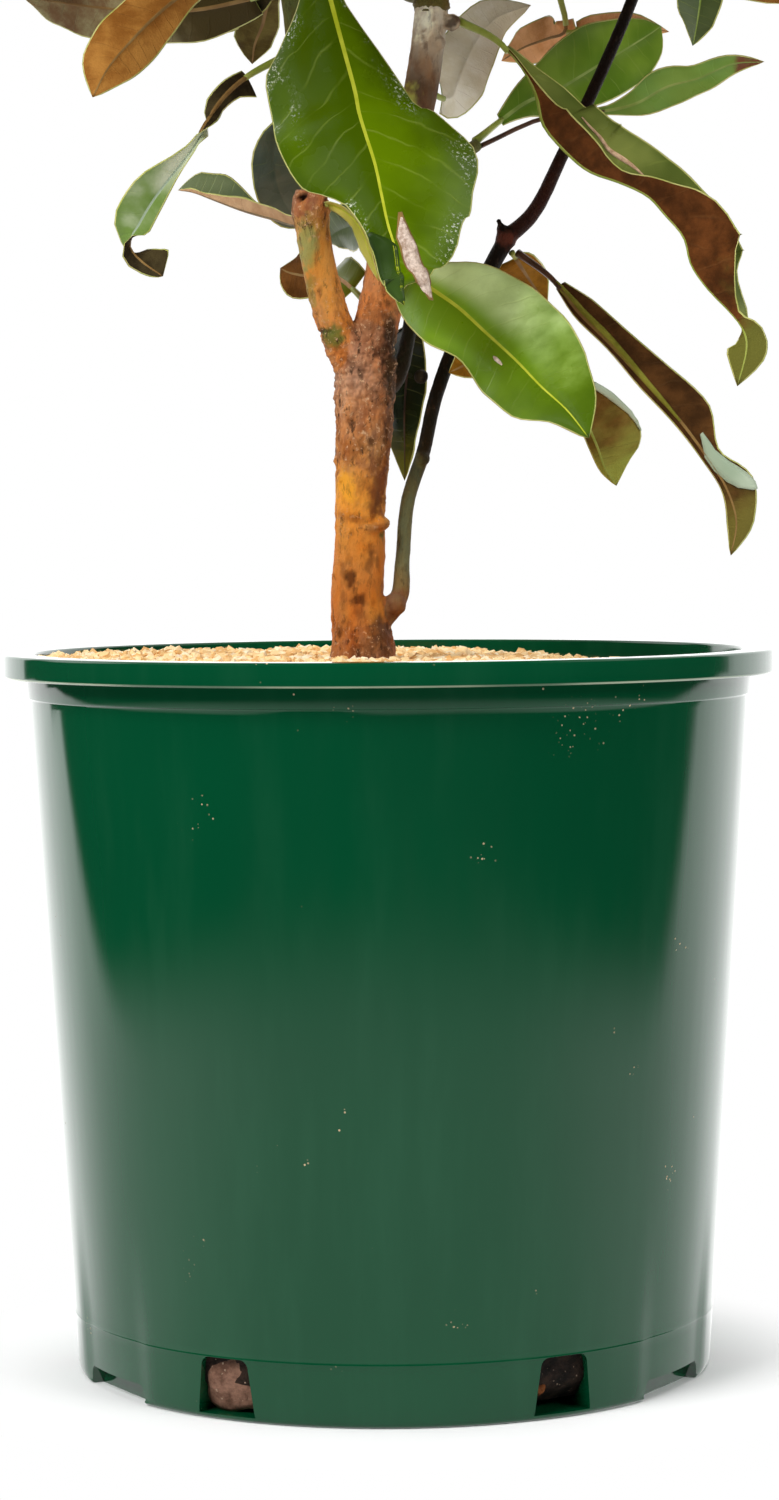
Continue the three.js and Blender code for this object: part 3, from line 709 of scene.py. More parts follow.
# Each stem: its middle line and its radii in mm, and its bark's colours, at even steps along it.
STEMS = {
    "trunk": (
        [(-8.6, 0, 232), (-8.8, 0, 246), (-10.3, 0, 259), (-9.3, 0, 276), (-9.1, 0, 292), (-7.6, 0, 316),
         (-7.1, 0, 333), (-6.4, 0, 345)],
        [12.2, 10.2, 9, 8.6, 8.4, 9.6, 10.3, 9.6],
        ["806050", "b87440", "cc8440", "d88e44", "f4aa4a", "c08a5c", "c89878", "c48e6a"]),
    "leader": (
        [(-6, 0, 338), (-0.8, 2, 363), (2.4, 5, 383), (7, 8, 407), (12.6, 10, 431), (16.5, 12, 461),
         (18, 11, 520), (14, 8, 620), (8, 4, 740), (5, 0, 880)],
        [8, 7.2, 6.6, 6.1, 5.8, 5.6, 5.2, 4.5, 3.5, 2.3],
        # The sixth tint, near white, is painted light.
        ["cc8a50", "de9258", "b8885e", "866a54", "64503c", "e8dcc4", "b0a890", "5f5c34", "62602f",
         "6b6a30"]),
    "pruned_limb": (
        [(-9, 0, 332), (-17, -3, 351), (-21.8, -5, 369), (-24.3, -7, 384), (-24.9, -8, 396)],
        [6.4, 6.2, 6, 5.85, 5.7, 5.7, 5.8, 6.5, 5.0],
        ["b87c4e", "dc9450", "e09e50", "cca058", "c08868"]),
    "left_shoot": (
        [(-23, -6, 386), (-25, 1, 410), (-28, 1, 433), (-31, 0, 460), (-37, -2, 492), (-58, -7, 512),
         (-86, -10, 530)],
        [3.8, 3.6, 3.4, 3.2, 3, 2.7, 2.2],
        ["56583a", "565c3a", "5d663c", "66703e", "66703e", "6c7840", "6c7840"]),
    "base_shoot": (
        [(-6, 0, 250), (3.4, 0, 259), (5, 2, 272), (7, 4, 292), (12.5, 6, 309), (17, 8, 328),
         (30, 12, 360), (42, 14, 382)],
        [5, 3.2, 2.5, 2.4, 2.4, 2.4, 2.6, 3],
        ["8a6044", "80704c", "70785a", "666e50", "201e12", "100e08", "0e0c08", "140e0a"]),
    "base_shoot_top": (
        [(40, 14, 380), (50, 16, 389), (61, 18, 410), (82, 22, 455), (96, 26, 492), (112, 28, 530)],
        [3.0, 2.6, 2.2, 2.1, 1.9, 1.6],
        ["2c1610", "361a12", "1c0f0a", "180f0a", "221c10", "4a4c2c"]),
    "side_branch": (
        [(-5, 0, 326), (3, 5, 333), (7, 9, 345), (9, 13, 358)],
        [3.4, 3.1, 2.6, 2.2],
        ["4e3826", "2a2418", "1e2014", "1a1c12"]),
    "right_twig": (
        [(4, 6, 393), (12, 8, 399), (21, 12, 406), (32, 18, 413)],
        [2.8, 2.6, 2.4, 2.2],
        ["6a5a3a", "66603c", "6a6a3e", "707440"]),
}
# Knobs and stubs that stand out of the stems: their middle and radius, in mm.
KNOBS = [
    ((-2.5, -5, 285.2), 2.4), ((-17.3, -3, 267.4), 1.7), ((2.2, -2, 257.2), 4.2), ((-15, -5, 300), 2.0),
    ((-3, -7.5, 330), 3.6), ((-12, -7, 322), 3.2), ((0.5, -4, 338), 3.4), ((-2.5, -6, 347), 3.6),
    ((-8, -6, 341), 3.4), ((12.2, 4, 306.4), 2.6), ((11.8, 5.6, 334), 2.6), ((-28, -10, 393), 2.6),
    ((-21, -11, 394), 2.4), ((-25, -4, 397), 3.0), ((23.2, 9, 453), 3.0), ((18.6, 7, 446), 2.6),
    ((41, 14, 380.5), 3.8), ((39.6, 13.4, 384), 1.9), ((38.6, 13, 386.6), 1.0), ((5.5, 6, 396), 3.2),
    ((-25.5, 2.2, 411), 4.0), ((-28.5, 1, 437), 3.8), ((-32, -0.5, 463), 3.8), ((-36, -2, 489), 3.6),
    ((-2, 4, 357), 4.2), ((1.5, 5.5, 377), 3.8), ((-9, -9.4, 338), 1.6), ((-5, -9.6, 333), 1.5),
    ((-12, -8.6, 331), 1.5), ((-6.5, -9, 342), 1.4), ((-2, -9.4, 338.5), 1.4), ((-10, -9.5, 327), 1.3),
    ((-4, -10, 326), 1.4), ((-14, -7.6, 336), 1.3),
]
# Scars and patches in the bark: middle and half sizes in mm, colour, strength, and rise in mm.
# A few dark patches on the trunk's right side are painted shade, and one near-white patch on the leader is a
# painted highlight.
SCARS_AND_PAINTED_LIGHT = [
    ((-12, -8, 286.4), (9, 9, 1.5), "7f5530", 0.35, -0.2),
    ((-2.5, -8, 291), (4.6, 8, 5.6), "5f3c26", 0.6, 0.3),
    ((-3.5, -8, 283.6), (6, 9, 1.6), "a07850", 0.7, 1.0),
    ((-1.5, -8, 297), (3.2, 8, 9), "7c4c2a", 0.7, 0.2),
    ((-22, -5, 348.6), (8, 9, 1.0), "4f2f1c", 0.9, -0.6), ((-25, -8, 390), (9, 9, 6), "a8705a", 0.7, 0.3),
    ((-26, -8, 378), (4, 10, 11), "a4a460", 0.95, 0.0),
    ((-25.5, -8, 361), (2.6, 9, 8), "8a8c4a", 0.7, 0.0),
    ((-17.5, -8, 347.5), (5, 9, 4.6), "66783c", 0.95, 0.0),
    ((-12.5, -9, 266), (2.2, 5, 5.5), "4c2c18", 0.85, -0.6),
    ((-9.5, -10, 259.5), (3, 5, 2.6), "3f2416", 0.8, -0.6),
    ((-5, -9, 276), (1.6, 5, 3), "6a4020", 0.8, -0.4),
    ((-1.5, -6, 279.8), (1.4, 5, 1.7), "5c6a34", 0.9, 0.0),
    ((-6.2, -9, 271), (1.5, 5, 3.2), "6f4526", 0.6, -0.3),
    ((0, -3, 246), (14, 14, 6), "7c4c2c", 0.75, 0.2), ((3, -2, 256), (6, 6, 6), "7c5640", 0.75, 0.0),
    # In the next line, the second patch, near black on the trunk's right side, is painted shade.
    ((-1, -8, 247), (4, 8, 9), "583a28", 0.7, 0.0), ((1.5, 0, 345), (5, 9, 13), "3a3a22", 0.8, 0.0),
    ((-12, -8, 318), (1.8, 5, 2.2), "5c3a24", 0.8, -0.5),
    ((-5.5, -9, 312), (1.6, 5, 2), "5f3c24", 0.8, -0.5),
    ((24, 6, 453), (3.6, 5, 3.4), "3d3024", 0.85, 0.2), ((12, 5, 306), (3, 4, 3), "6a6e42", 0.5, 0.0),
    ((41, 12, 381), (4.5, 5, 3), "66382c", 0.9, 0.0), ((-4, -6, 352), (7, 8, 6), "8c5c38", 0.6, 0.3),
    ((-2.5, -7, 298), (4, 8, 11), "744628", 0.65, 0.15), ((-14, -8, 297), (4, 8, 6), "fcb43c", 0.85, 0.0),
    # In the next line, the second patch, and the patch on the line after it, dark on the trunk's right side,
    # are painted shade.
    ((-10, -9, 276), (5, 8, 5), "dc8c38", 0.6, 0.0), ((1.5, -4, 335), (3.6, 9, 15), "2c2a18", 0.85, 0.0),
    ((1, -6, 312), (3.2, 9, 13), "4a2c18", 0.6, 0.0),
    ((-27.6, -13.5, 394), (1.6, 5, 1.7), "150c08", 1.0, -1.4),
    ((9, 5, 415), (3, 7, 7), "a8806a", 0.55, 0.0), ((14, 7, 438), (3, 6, 5), "8c7258", 0.5, 0.0),
    # In the next line, the first patch, near white on the leader, is a painted highlight.
    ((13, 2, 454), (5, 9, 8), "fffae0", 1.0, 0.0), ((8, 3, 427), (4, 9, 7), "b4b85c", 0.9, 0.0),
    # In the next line, the second patch, dark brown on the trunk's right side at the fork, is painted shade.
    ((-13, -8, 309), (4, 8, 5), "8a5630", 0.6, 0.1), ((0, -6, 345), (3.4, 8, 9), "4a2c14", 0.6, 0.0),
    ((-13.5, -8, 323), (3.6, 8, 11), "e0ac84", 0.6, 0.1),
    ((-4, -8, 304), (3.4, 8, 4), "8a5430", 0.5, 0.2), ((-19.5, -8, 362), (3.4, 9, 9), "e8a048", 0.6, 0.0),
]
# Where the bark is rough: foot and top in mm, and strength. Rings run round it between two heights.
ROUGH_ZONES = [(232, 252, 0.7), (280, 290, 0.5), (302, 352, 1.0), (352, 366, 0.55), (380, 400, 1.0)]
# The rings' colour carries painted shade in their grooves and painted light on their ridges.
RINGED_FOOT = 324
RINGED_TOP = 342


def stem_line(points, share):
    """A point on the smooth curve through the points, at a share of its way."""
    points = [Vector(p) for p in points]
    last = len(points) - 1
    at = clamp(share) * last
    i = min(int(at), last - 1)
    w = at - i
    before = points[i - 1] if i > 0 else 2 * points[0] - points[1]
    after = points[i + 2] if i + 2 <= last else 2 * points[last] - points[last - 1]
    a, b = points[i], points[i + 1]
    step = [max(math.sqrt((q - p).length), 0.01) for p, q in ((before, a), (a, b), (b, after))]
    leave = ((a - before) / step[0] - (b - before) / (step[0] + step[1]) + (b - a) / step[1]) * step[1]
    reach = ((b - a) / step[1] - (after - a) / (step[1] + step[2]) + (after - b) / step[2]) * step[1]
    return a + leave * w + (3 * (b - a) - 2 * leave - reach) * w ** 2 + (2 * (a - b) + leave + reach) * w ** 3


def between(values, share):
    """A value, colour or direction between those listed at even steps."""
    at = clamp(share) * (len(values) - 1)
    i = min(int(at), len(values) - 2)
    first, second = values[i], values[i + 1]
    if isinstance(first, (int, float)):
        return first + (second - first) * (at - i)
    return tuple(a + (b - a) * (at - i) for a, b in zip(first, second))


def tube(middles, radii, sides, change=None):
    """A closed tube round a row of points. change gives the factor on a radius at (row, angle)."""
    vertices, faces = [], []
    side = None
    for row, (middle, radius) in enumerate(zip(middles, radii)):
        ahead = (middles[min(row + 1, len(middles) - 1)] - middles[max(row - 1, 0)]).normalized()
        side = ahead.orthogonal() if side is None else side - ahead * side.dot(ahead)
        side.normalize()
        other = ahead.cross(side)
        for s in range(sides):
            angle = 2 * math.pi * s / sides
            size = radius * (change(row, angle) if change else 1.0)
            vertices.append(middle + (side * math.cos(angle) + other * math.sin(angle)) * size)
    for row in range(len(middles) - 1):
        for s in range(sides):
            t = (s + 1) % sides
            faces.append([row * sides + s, row * sides + t, (row + 1) * sides + t, (row + 1) * sides + s])
    end = (len(middles) - 1) * sides
    vertices += [middles[0].copy(), middles[-1].copy()]
    faces += [[(s + 1) % sides, s, len(vertices) - 2] for s in range(sides)]
    faces += [[end + s, end + (s + 1) % sides, len(vertices) - 1] for s in range(sides)]
    return vertices, faces


def knob(middle, radius):
    shape = bmesh.new()
    bmesh.ops.create_icosphere(shape, subdivisions=2, radius=radius)
    for v in shape.verts:
        v.co += middle
    return read_out(shape)


def set_attribute(mesh, name, kind, values, domain="POINT"):
    """Gives a mesh an attribute with its values, listed flat."""
    layer = mesh.attributes.new(name, kind, domain)
    layer.data.foreach_set({"FLOAT_VECTOR": "vector", "FLOAT_COLOR": "color"}.get(kind, "value"), values)


woody = Joined()
samples, sample_radii, sample_tints = [], [], []
for name, (points, radii, tints) in STEMS.items():
    reach = LEADER_SPLIT if name == "leader" else 1.0
    shares = [reach * i / STEM_SAMPLES for i in range(STEM_SAMPLES + 1)]
    line = [stem_line(points, s) * MM for s in shares]
    sizes = [between(radii, s) * MM for s in shares]
    woody.add(*tube(line, sizes, STEM_SIDES))
    samples += line
    sample_radii += sizes
    tints = [srgb(code)[:3] for code in tints]
    sample_tints += [between(tints, s) for s in shares]
for middle, radius in KNOBS:
    woody.add(*knob(Vector(middle) * MM, radius * MM))
stems = mesh_object("woody_stems", woody.vertices, woody.faces)
join = stems.modifiers.new("join", "REMESH")
join.mode = "VOXEL"
join.voxel_size = VOXEL
join.use_smooth_shade = True
even = stems.modifiers.new("even", "SMOOTH")
even.factor = 0.5
even.iterations = 2
bake_modifiers(stems)


def rough_at(z):
    """How rough the bark is at a height in mm."""
    level = 0.0
    for foot, top, strength in ROUGH_ZONES:
        inside = min((z - foot) / 4 + 0.5, (top - z) / 4 + 0.5, 1.0)
        level = max(level, strength * max(inside, 0.0))
    return level


mesh = stems.data
count = len(mesh.vertices)
places = np.empty(count * 3)
normals = np.empty(count * 3)
mesh.vertices.foreach_get("co", places)
mesh.vertices.foreach_get("normal", normals)
places, normals = places.reshape(-1, 3), normals.reshape(-1, 3)
centres, radii, tints = np.array(samples), np.array(sample_radii), np.array(sample_tints)
nearest = np.empty(count, dtype=int)
for start in range(0, count, POINTS_AT_ONCE):
    some = places[start:start + POINTS_AT_ONCE]
    gaps = np.linalg.norm(some[:, None] - centres[None], axis=2) - radii[None]
    nearest[start:start + POINTS_AT_ONCE] = gaps.argmin(axis=1)
colours = np.ones((count, 4))
colours[:, :3] = tints[nearest]
roughness = np.zeros(count)
rise = np.zeros(count)
orange, umber, mauve = [np.array(srgb(code)[:3]) for code in ("d8923a", "4c2b18", "8a6450")]
scars_and_painted_light = [(Vector(scar[0]), scar[1], np.array(srgb(scar[2])[:3]), *scar[3:]) for scar in SCARS_AND_PAINTED_LIGHT]


def shift_tint(i, colour, share, strength=1.0):
    """Shifts the tint of one point of the bark towards a colour."""
    colours[i, :3] += (colour - colours[i, :3]) * share * strength


for i in range(count):
    place = Vector(places[i]) / MM
    thick = min(radii[nearest[i]] / MM / FULL_RADIUS, 1.0)
    stout = thick > STOUT
    rough = rough_at(place.z + 2.5 * noise.noise(place * 0.12)) if stout else 0.12 * thick
    roughness[i] = rough
    tall = Vector((place.x, place.y, place.z * 0.45))
    coarse = noise.fractal(place * 0.32, 1.0, 2.1, 4)
    fine = noise.fractal(tall * 0.9, 1.0, 2.0, 3)
    speck = noise.fractal(tall * 0.3 + Vector((31, 0, 0)), 0.75, 2.4, 5)
    patch = noise.noise(Vector((place.x * 0.13, place.y * 0.13, place.z * 0.055)) + Vector((0, 7, 0)))
    rise[i] = thick * (0.18 + 0.5 * rough) * coarse + thick * (0.05 + 0.28 * rough) * fine
    if stout:
        shift_tint(i, orange, clamp(patch * 2.2 + 0.35) * (1 - rough) * 0.6 * clamp((BLUSH_TOP - place.z) / 16))
        dark = clamp((speck - 0.04) * 1.9) * (0.44 + 0.22 * rough)
        shift_tint(i, umber, dark)
        shift_tint(i, mauve, clamp((-speck - 0.1) * 2.5) * rough * 0.6)
        rise[i] -= 0.25 * dark
    if stout and RINGED_FOOT < place.z < RINGED_TOP:
        wrinkle = math.sin(place.z * 2.3 + 5.0 * coarse)
        rise[i] += 0.18 * wrinkle
        # The colour follows the relief: painted shade in the grooves, painted light on the ridges.
        colours[i, :3] *= 1 + 0.16 * wrinkle
    ragged = 0.5 * noise.noise(place * 0.35) + 0.35 * noise.noise(place * 0.9)
    wobble = 2.2 * noise.noise(Vector((place.x, place.y, 5)) * 0.16)
    for middle, halves, colour, strength, lift in scars_and_painted_light:
        off = (place - middle) + Vector((0, 0, wobble))
        inside = 1.1 - math.hypot(off.x / halves[0], off.y / halves[1], off.z / halves[2]) + ragged
        if inside > 0:
            share = min(inside * 1.8, 1.0)
            shift_tint(i, colour, share, strength)
            rise[i] += lift * share
places += normals * (rise * MM)[:, None]
mesh.vertices.foreach_set("co", places.ravel())
set_attribute(mesh, "bark_tint", "FLOAT_COLOR", colours.ravel())
set_attribute(mesh, "bark_rough", "FLOAT", roughness)
mesh.update()


def bark(name, plain=None):
    """Thin bark in the mesh's own tints, or in a plain colour, with brown mottles and fine lengthwise
    cracks."""
    made, tree, shader, place = new_material(name, Roughness=0.66, Specular_IOR_Level=0.25)
    tall = node(tree, "ShaderNodeMapping", {0: place, 3: (1, 1, 0.4)}).outputs[0]
    mottle = speckle(tree, tall, 420, 6, 0.72)
    if plain is None:
        colour = node(tree, "ShaderNodeAttribute", attribute_name="bark_tint").outputs["Color"]
        rough = node(tree, "ShaderNodeAttribute", attribute_name="bark_rough").outputs["Fac"]
    else:
        colour, rough = plain, 0.15
    light = remap(tree, speckle(tree, tall, 170, 3), 0.3, 0.75)
    colour = blend_colours(tree, product(tree, light, 0.6), colour, "e2a560", "SOFT_LIGHT")
    brown = remap(tree, mottle, 0.53, 0.66)
    amount = node(tree, "ShaderNodeMath", {0: rough, 1: 0.5, 2: 0.4}, operation="MULTIPLY_ADD").outputs[0]
    colour = blend_colours(tree, product(tree, brown, amount), colour, "3d2516")
    pale = remap(tree, speckle(tree, place, 640, 4, 0.7), 0.56, 0.68)
    colour = blend_colours(tree, product(tree, pale, rough, 0.95), colour, "dcb48c")
    paint(tree, shader, colour)
    cracks = speckle(tree, tall, 900, 6, 0.7)
    fine = calculate(tree, "ADD", product(tree, cracks, 0.6), mottle)
    bump(tree, shader, fine, 0.0016)
    return made


mesh.materials.append(bark("bark"))
finish_piece(stems, "bark", "trunk", "pruned_limb", "left_shoot", "base_shoot", "base_shoot_top",
             "side_branch", "right_twig", "leader")

# Boughs -------------------------------------------------------------------------------------------
# The leader's upper stretch and the twelve boughs that leave it in four tiers. Young, thin green-
# brown bark with a faint ring at each node, where a leaf once stood.

RING_STEP = 1.6  # mm between the rows of a tube
NODE_STEP = 21.0  # mm between the rings in the bark
RING_WIDTH = 1.6  # mm
BOUGH_LINE = [(0, 0), (0.3, 0.15), (0.62, 0.42), (0.85, 0.72)]
BOUGH_RADII = [3.4, 2.1]
LEADER_OVERLAP = 0.02  # how far the leader's upper piece reaches down into the lower one
LEADER_SIDES = 20
BOUGH_SIDES = 12
# Each tier: height, headings of its boughs, reach, rise, and its masses' spread and depth, in mm.
TIERS = {
    "low": (474, [-98, 50, 140], 98, 56, 78, 54),
    "middle": (560, [-142, -50, 22, 112], 112, 78, 82, 60),
    "upper": (662, [-100, 25, 165], 84, 84, 76, 62),
    "high": (758, [-30, 130], 52, 84, 64, 60),
}


def leader_at(height):
    """The leader's middle at a height, straight between its points, in mm."""
    points = STEMS["leader"][0]
    for low, high in zip(points, points[1:]):
        if height <= high[2]:
            share = (height - low[2]) / (high[2] - low[2])
            return Vector(low).lerp(Vector(high), share)
    return Vector(points[-1])


def limb(points, radii, sides, dice, start=0.0):
    """A tube along a stem's line, with bark relief and its rings, from a share of its way."""
    length = sum((Vector(b) - Vector(a)).length for a, b in zip(points, points[1:])) * (1 - start)
    rows = max(int(length / RING_STEP), 6)
    shares = [start + (1 - start) * i / rows for i in range(rows + 1)]
    offset = dice.uniform(0, 50)
    first_node = dice.uniform(0, NODE_STEP)

    def change(row, angle):
        along = row * RING_STEP
        off = abs((along - first_node) % NODE_STEP - NODE_STEP / 2) / RING_WIDTH
        ring = 0.16 * math.exp(-off * off)
        where = Vector((math.cos(angle) * 1.4, math.sin(angle) * 1.4, along * 0.16 + offset))
        return 1 + ring + 0.13 * noise.noise(where) + 0.05 * noise.noise(where * 3.3)

    line = [stem_line(points, s) * MM for s in shares]
    return tube(line, [between(radii, s) * MM for s in shares], sides, change)


dice = random.Random(5)
branches = Joined()
points, radii, _ = STEMS["leader"]
branches.add(*limb(points, radii, LEADER_SIDES, dice, LEADER_SPLIT - LEADER_OVERLAP))
masses = []
bough_nodes = []
for tier, (height, headings, reach, bough_rise, spread, depth) in TIERS.items():
    for i, heading in enumerate(headings):
        foot = leader_at(height + 12 * math.sin(2.4 * i))
        far = reach + 12 * math.cos(3.7 * i + reach)
        out = Vector((math.cos(math.radians(heading)), math.sin(math.radians(heading)), 0))
        line = [foot + out * far * a + Vector((0, 0, bough_rise * b)) for a, b in BOUGH_LINE]
        branches.add(*limb(line, BOUGH_RADII, BOUGH_SIDES, dice))
        centre = foot + out * far + Vector((0, 0, bough_rise * 1.12))
        masses.append((f"crown_{tier}_{i + 1}", line[-1], (line[-1] - line[-2]).normalized(), centre,
                       spread + 6 * math.sin(1.9 * i + spread), depth))
        bough_nodes.append(f"bough_{tier}_{i + 1}")
boughs = mesh_object("boughs", branches.vertices, branches.faces, [bark("young_bark", "66602f")])
finish_piece(boughs, "young_bark", "leader", *bough_nodes)

# Leaves -------------------------------------------------------------------------------------------
# The large leathery leaves of the lower shoots, each grown in one piece: a glossy green face with a
# pale midrib and margin, over a felted brown underside. Old ones fold, curl and twist.
# Some faces and one felt carry painted shade, painted light or a painted sheen.

LEAF_THICKNESS = 0.42  # mm, at the middle of a half blade
RIB_HALF = 0.7  # mm, half the midrib's width on the face
MARGIN = 0.5  # mm
ROW_STEP = 3.2  # mm between the rows of a blade
MIDRIB_STEPS = 96
MAP_LENGTH = 1.6
MARK_STEP = 0.012  # the share of a blade between the rows of a mark
STALK_ROWS = 7
EYE = Vector((0, -1337, 283))  # mm, where the tree is seen from the front


def blade_share(u):
    """The usual leaf outline: the half width at a share of the blade, against the widest."""
    return math.sin(math.pi * clamp(u) ** 0.92) ** 0.75


class Blade:
    """A leaf's surface: a curved midrib with two half blades that fold, curl and wave along it."""

    def __init__(self, line, faces, plus, minus, fold, curl, wave, stalk=0.14, phase=0.0, ripples=2.2):
        self.middles = [stem_line(line, i / MIDRIB_STEPS) for i in range(MIDRIB_STEPS + 1)]
        self.length = sum((b - a).length for a, b in zip(self.middles, self.middles[1:]))
        self.faces = faces
        self.halves = [self.outline(plus), self.outline(minus)]
        self.fold = fold if isinstance(fold, tuple) else (fold, fold)
        self.curl = curl if isinstance(curl, tuple) else (curl, curl)
        self.wave, self.stalk, self.phase, self.ripples = wave, stalk, phase, ripples

    def outline(self, half):
        """Half widths, as a peak in mm for the usual outline, or listed at even steps of the midrib."""
        if isinstance(half, (int, float)):
            return lambda share: half * blade_share((share - self.stalk) / (1 - self.stalk))
        rungs = [(i, width, 0) for i, width in enumerate(half)]
        return lambda share: stem_line(rungs, share).y

    def frame(self, share):
        at = clamp(share) * MIDRIB_STEPS
        i = min(int(at), MIDRIB_STEPS - 1)
        middle = self.middles[i].lerp(self.middles[i + 1], at - i)
        ahead = (self.middles[min(i + 2, MIDRIB_STEPS)] - self.middles[max(i - 1, 0)]).normalized()
        up = Vector(between(self.faces, share))
        up = (up - ahead * up.dot(ahead)).normalized()
        return middle, ahead, up

    def place(self, share, across, lift=0.0, least=0.3):
        """The point at a share of the midrib and mm across it, lifted off the surface by some mm. Where
        the half blade is narrower than least, it bends as one of that width."""
        middle, ahead, up = self.frame(share)
        side = ahead.cross(up)
        sign, k = (1, 0) if across >= 0 else (-1, 1)
        reach, width = abs(across), max(self.halves[k](share), least)
        blade_at = clamp((share - self.stalk) / (1 - self.stalk))
        fold, curl = [math.radians(v if isinstance(v, (int, float)) else between(v, blade_at))
                      for v in (self.fold[k], self.curl[k])]
        bend = curl / width
        angle = fold + bend * reach
        if abs(bend) < 1e-5:
            out, rise = reach * math.cos(fold), reach * math.sin(fold)
        else:
            out, rise = (math.sin(angle) - math.sin(fold)) / bend, (math.cos(fold) - math.cos(angle)) / bend
        swing = math.sin(2 * math.pi * (self.ripples * blade_at + self.phase + 0.37 * k))
        swing += 0.5 * math.sin(2 * math.pi * (2.3 * self.ripples * blade_at + 1.7 * self.phase + 0.21 * k))
        rise += self.wave * (reach / width) ** 2 * swing * math.sin(math.pi * blade_at) ** 0.5
        point = middle + side * (sign * out) + up * rise
        normal = up * math.cos(angle) - side * (sign * math.sin(angle))
        return point + normal * lift

    def build(self, gather, stalk_radii, cells=5, rows=None, stalk_sides=8):
        """Adds the closed blade and its stalk. The slots are face, rib, margin, felt, back rib, stalk."""
        rows = rows or max(int(self.length * (1 - self.stalk) / ROW_STEP), 8)
        face_slot, rib_slot, margin_slot, felt_slot, back_rib_slot, stalk_slot = range(6)
        tops, unders, extra = [], [], []
        for row in range(rows):
            share = self.stalk + (1 - self.stalk) * (row / rows) ** 0.97
            widths = [max(half(share), 0.5) for half in self.halves]
            across = []
            for k, sign in ((1, -1), (0, 1)):
                w = widths[k]
                rib = min(RIB_HALF * (1.2 - 0.95 * share), 0.3 * w)
                edge = w - min(MARGIN, 0.2 * w)
                steps = [rib + (edge - rib) * i / (cells - 1) for i in range(cells)] + [w]
                across += [sign * s for s in (steps[::-1] if sign < 0 else steps)]
                if sign < 0:
                    across.append(0.0)
            tops.append([])
            unders.append([])
            for c, s in enumerate(across):
                w = widths[0] if s >= 0 else widths[1]
                edge_share = min(abs(s) / w, 1.0)
                thick = LEAF_THICKNESS / 2 * (1 - edge_share ** 4)
                place = (share, edge_share, 1.0 if s >= 0 else 0.0)
                tops[-1].append(len(gather.vertices))
                gather.vertices.append(self.place(share, s, thick if s else thick - 0.12) * MM)
                extra.append((place, s))
                if c in (0, len(across) - 1):
                    unders[-1].append(tops[-1][-1])
                    continue
                ridge = 0.95 * (1.1 - share) if s == 0 else 0.0
                unders[-1].append(len(gather.vertices))
                gather.vertices.append(self.place(share, s, -thick - ridge) * MM)
                extra.append((place, s))
        tip = len(gather.vertices)
        gather.vertices.append(self.place(1.0, 0.0) * MM)
        extra.append(((1.0, 0.0, 1.0), 0.0))
        columns = len(tops[0])
        middle = columns // 2

        def slot_of(c, rib, margin, plain):
            return margin if c in (0, columns - 2) else rib if c in (middle - 1, middle) else plain

        for row in range(rows):
            for c in range(columns - 1):
                top, under = tops[row], unders[row]
                if row < rows - 1:
                    faces = [[top[c + 1], tops[row + 1][c + 1], tops[row + 1][c], top[c]],
                             [under[c + 1], under[c], unders[row + 1][c], unders[row + 1][c + 1]]]
                else:
                    faces = [[top[c], top[c + 1], tip], [under[c + 1], under[c], tip]]
                gather.faces += faces
                gather.slots += [slot_of(c, rib_slot, margin_slot, face_slot),
                                 slot_of(c, back_rib_slot, margin_slot, felt_slot)]
        gather.faces.append(unders[0][1:-1] + tops[0][::-1])
        gather.slots.append(stalk_slot)
        shares = [i / STALK_ROWS for i in range(STALK_ROWS + 1)]
        ends = [self.frame(min(self.stalk * 1.08, 1) * i / STALK_ROWS)[0] * MM for i in range(STALK_ROWS + 1)]
        ends[-1] -= self.frame(self.stalk)[2] * (0.3 * MM)
        foot_radius, top_radius = stalk_radii
        sizes = [(foot_radius + (top_radius - foot_radius) * share ** 0.6) * MM for share in shares]
        vertices, faces = tube(ends, sizes, stalk_sides)
        gather.add(vertices, faces, stalk_slot)
        extra += [((0.0, 0.0, 1.0), 0.0)] * len(vertices)
        gather.extra += extra


def leaf_object(name, gather, materials):
    """A leaf's mesh, with each point's place on its blade, and a map that runs to MAP_LENGTH along the
    blade and in decimetres across it."""
    obj = mesh_object(name, gather.vertices, gather.faces, materials, gather.slots)
    mesh = obj.data
    set_attribute(mesh, "leaf_place", "FLOAT_VECTOR", [v for place, _ in gather.extra for v in place])
    layer = mesh.uv_layers.new(name="leaf_map")
    corners = np.empty(len(mesh.loops), dtype=int)
    mesh.loops.foreach_get("vertex_index", corners)
    flat = np.array([(place[0] * MAP_LENGTH, s * 0.01) for place, s in gather.extra])
    layer.data.foreach_set("uv", flat[corners].ravel())
    return obj


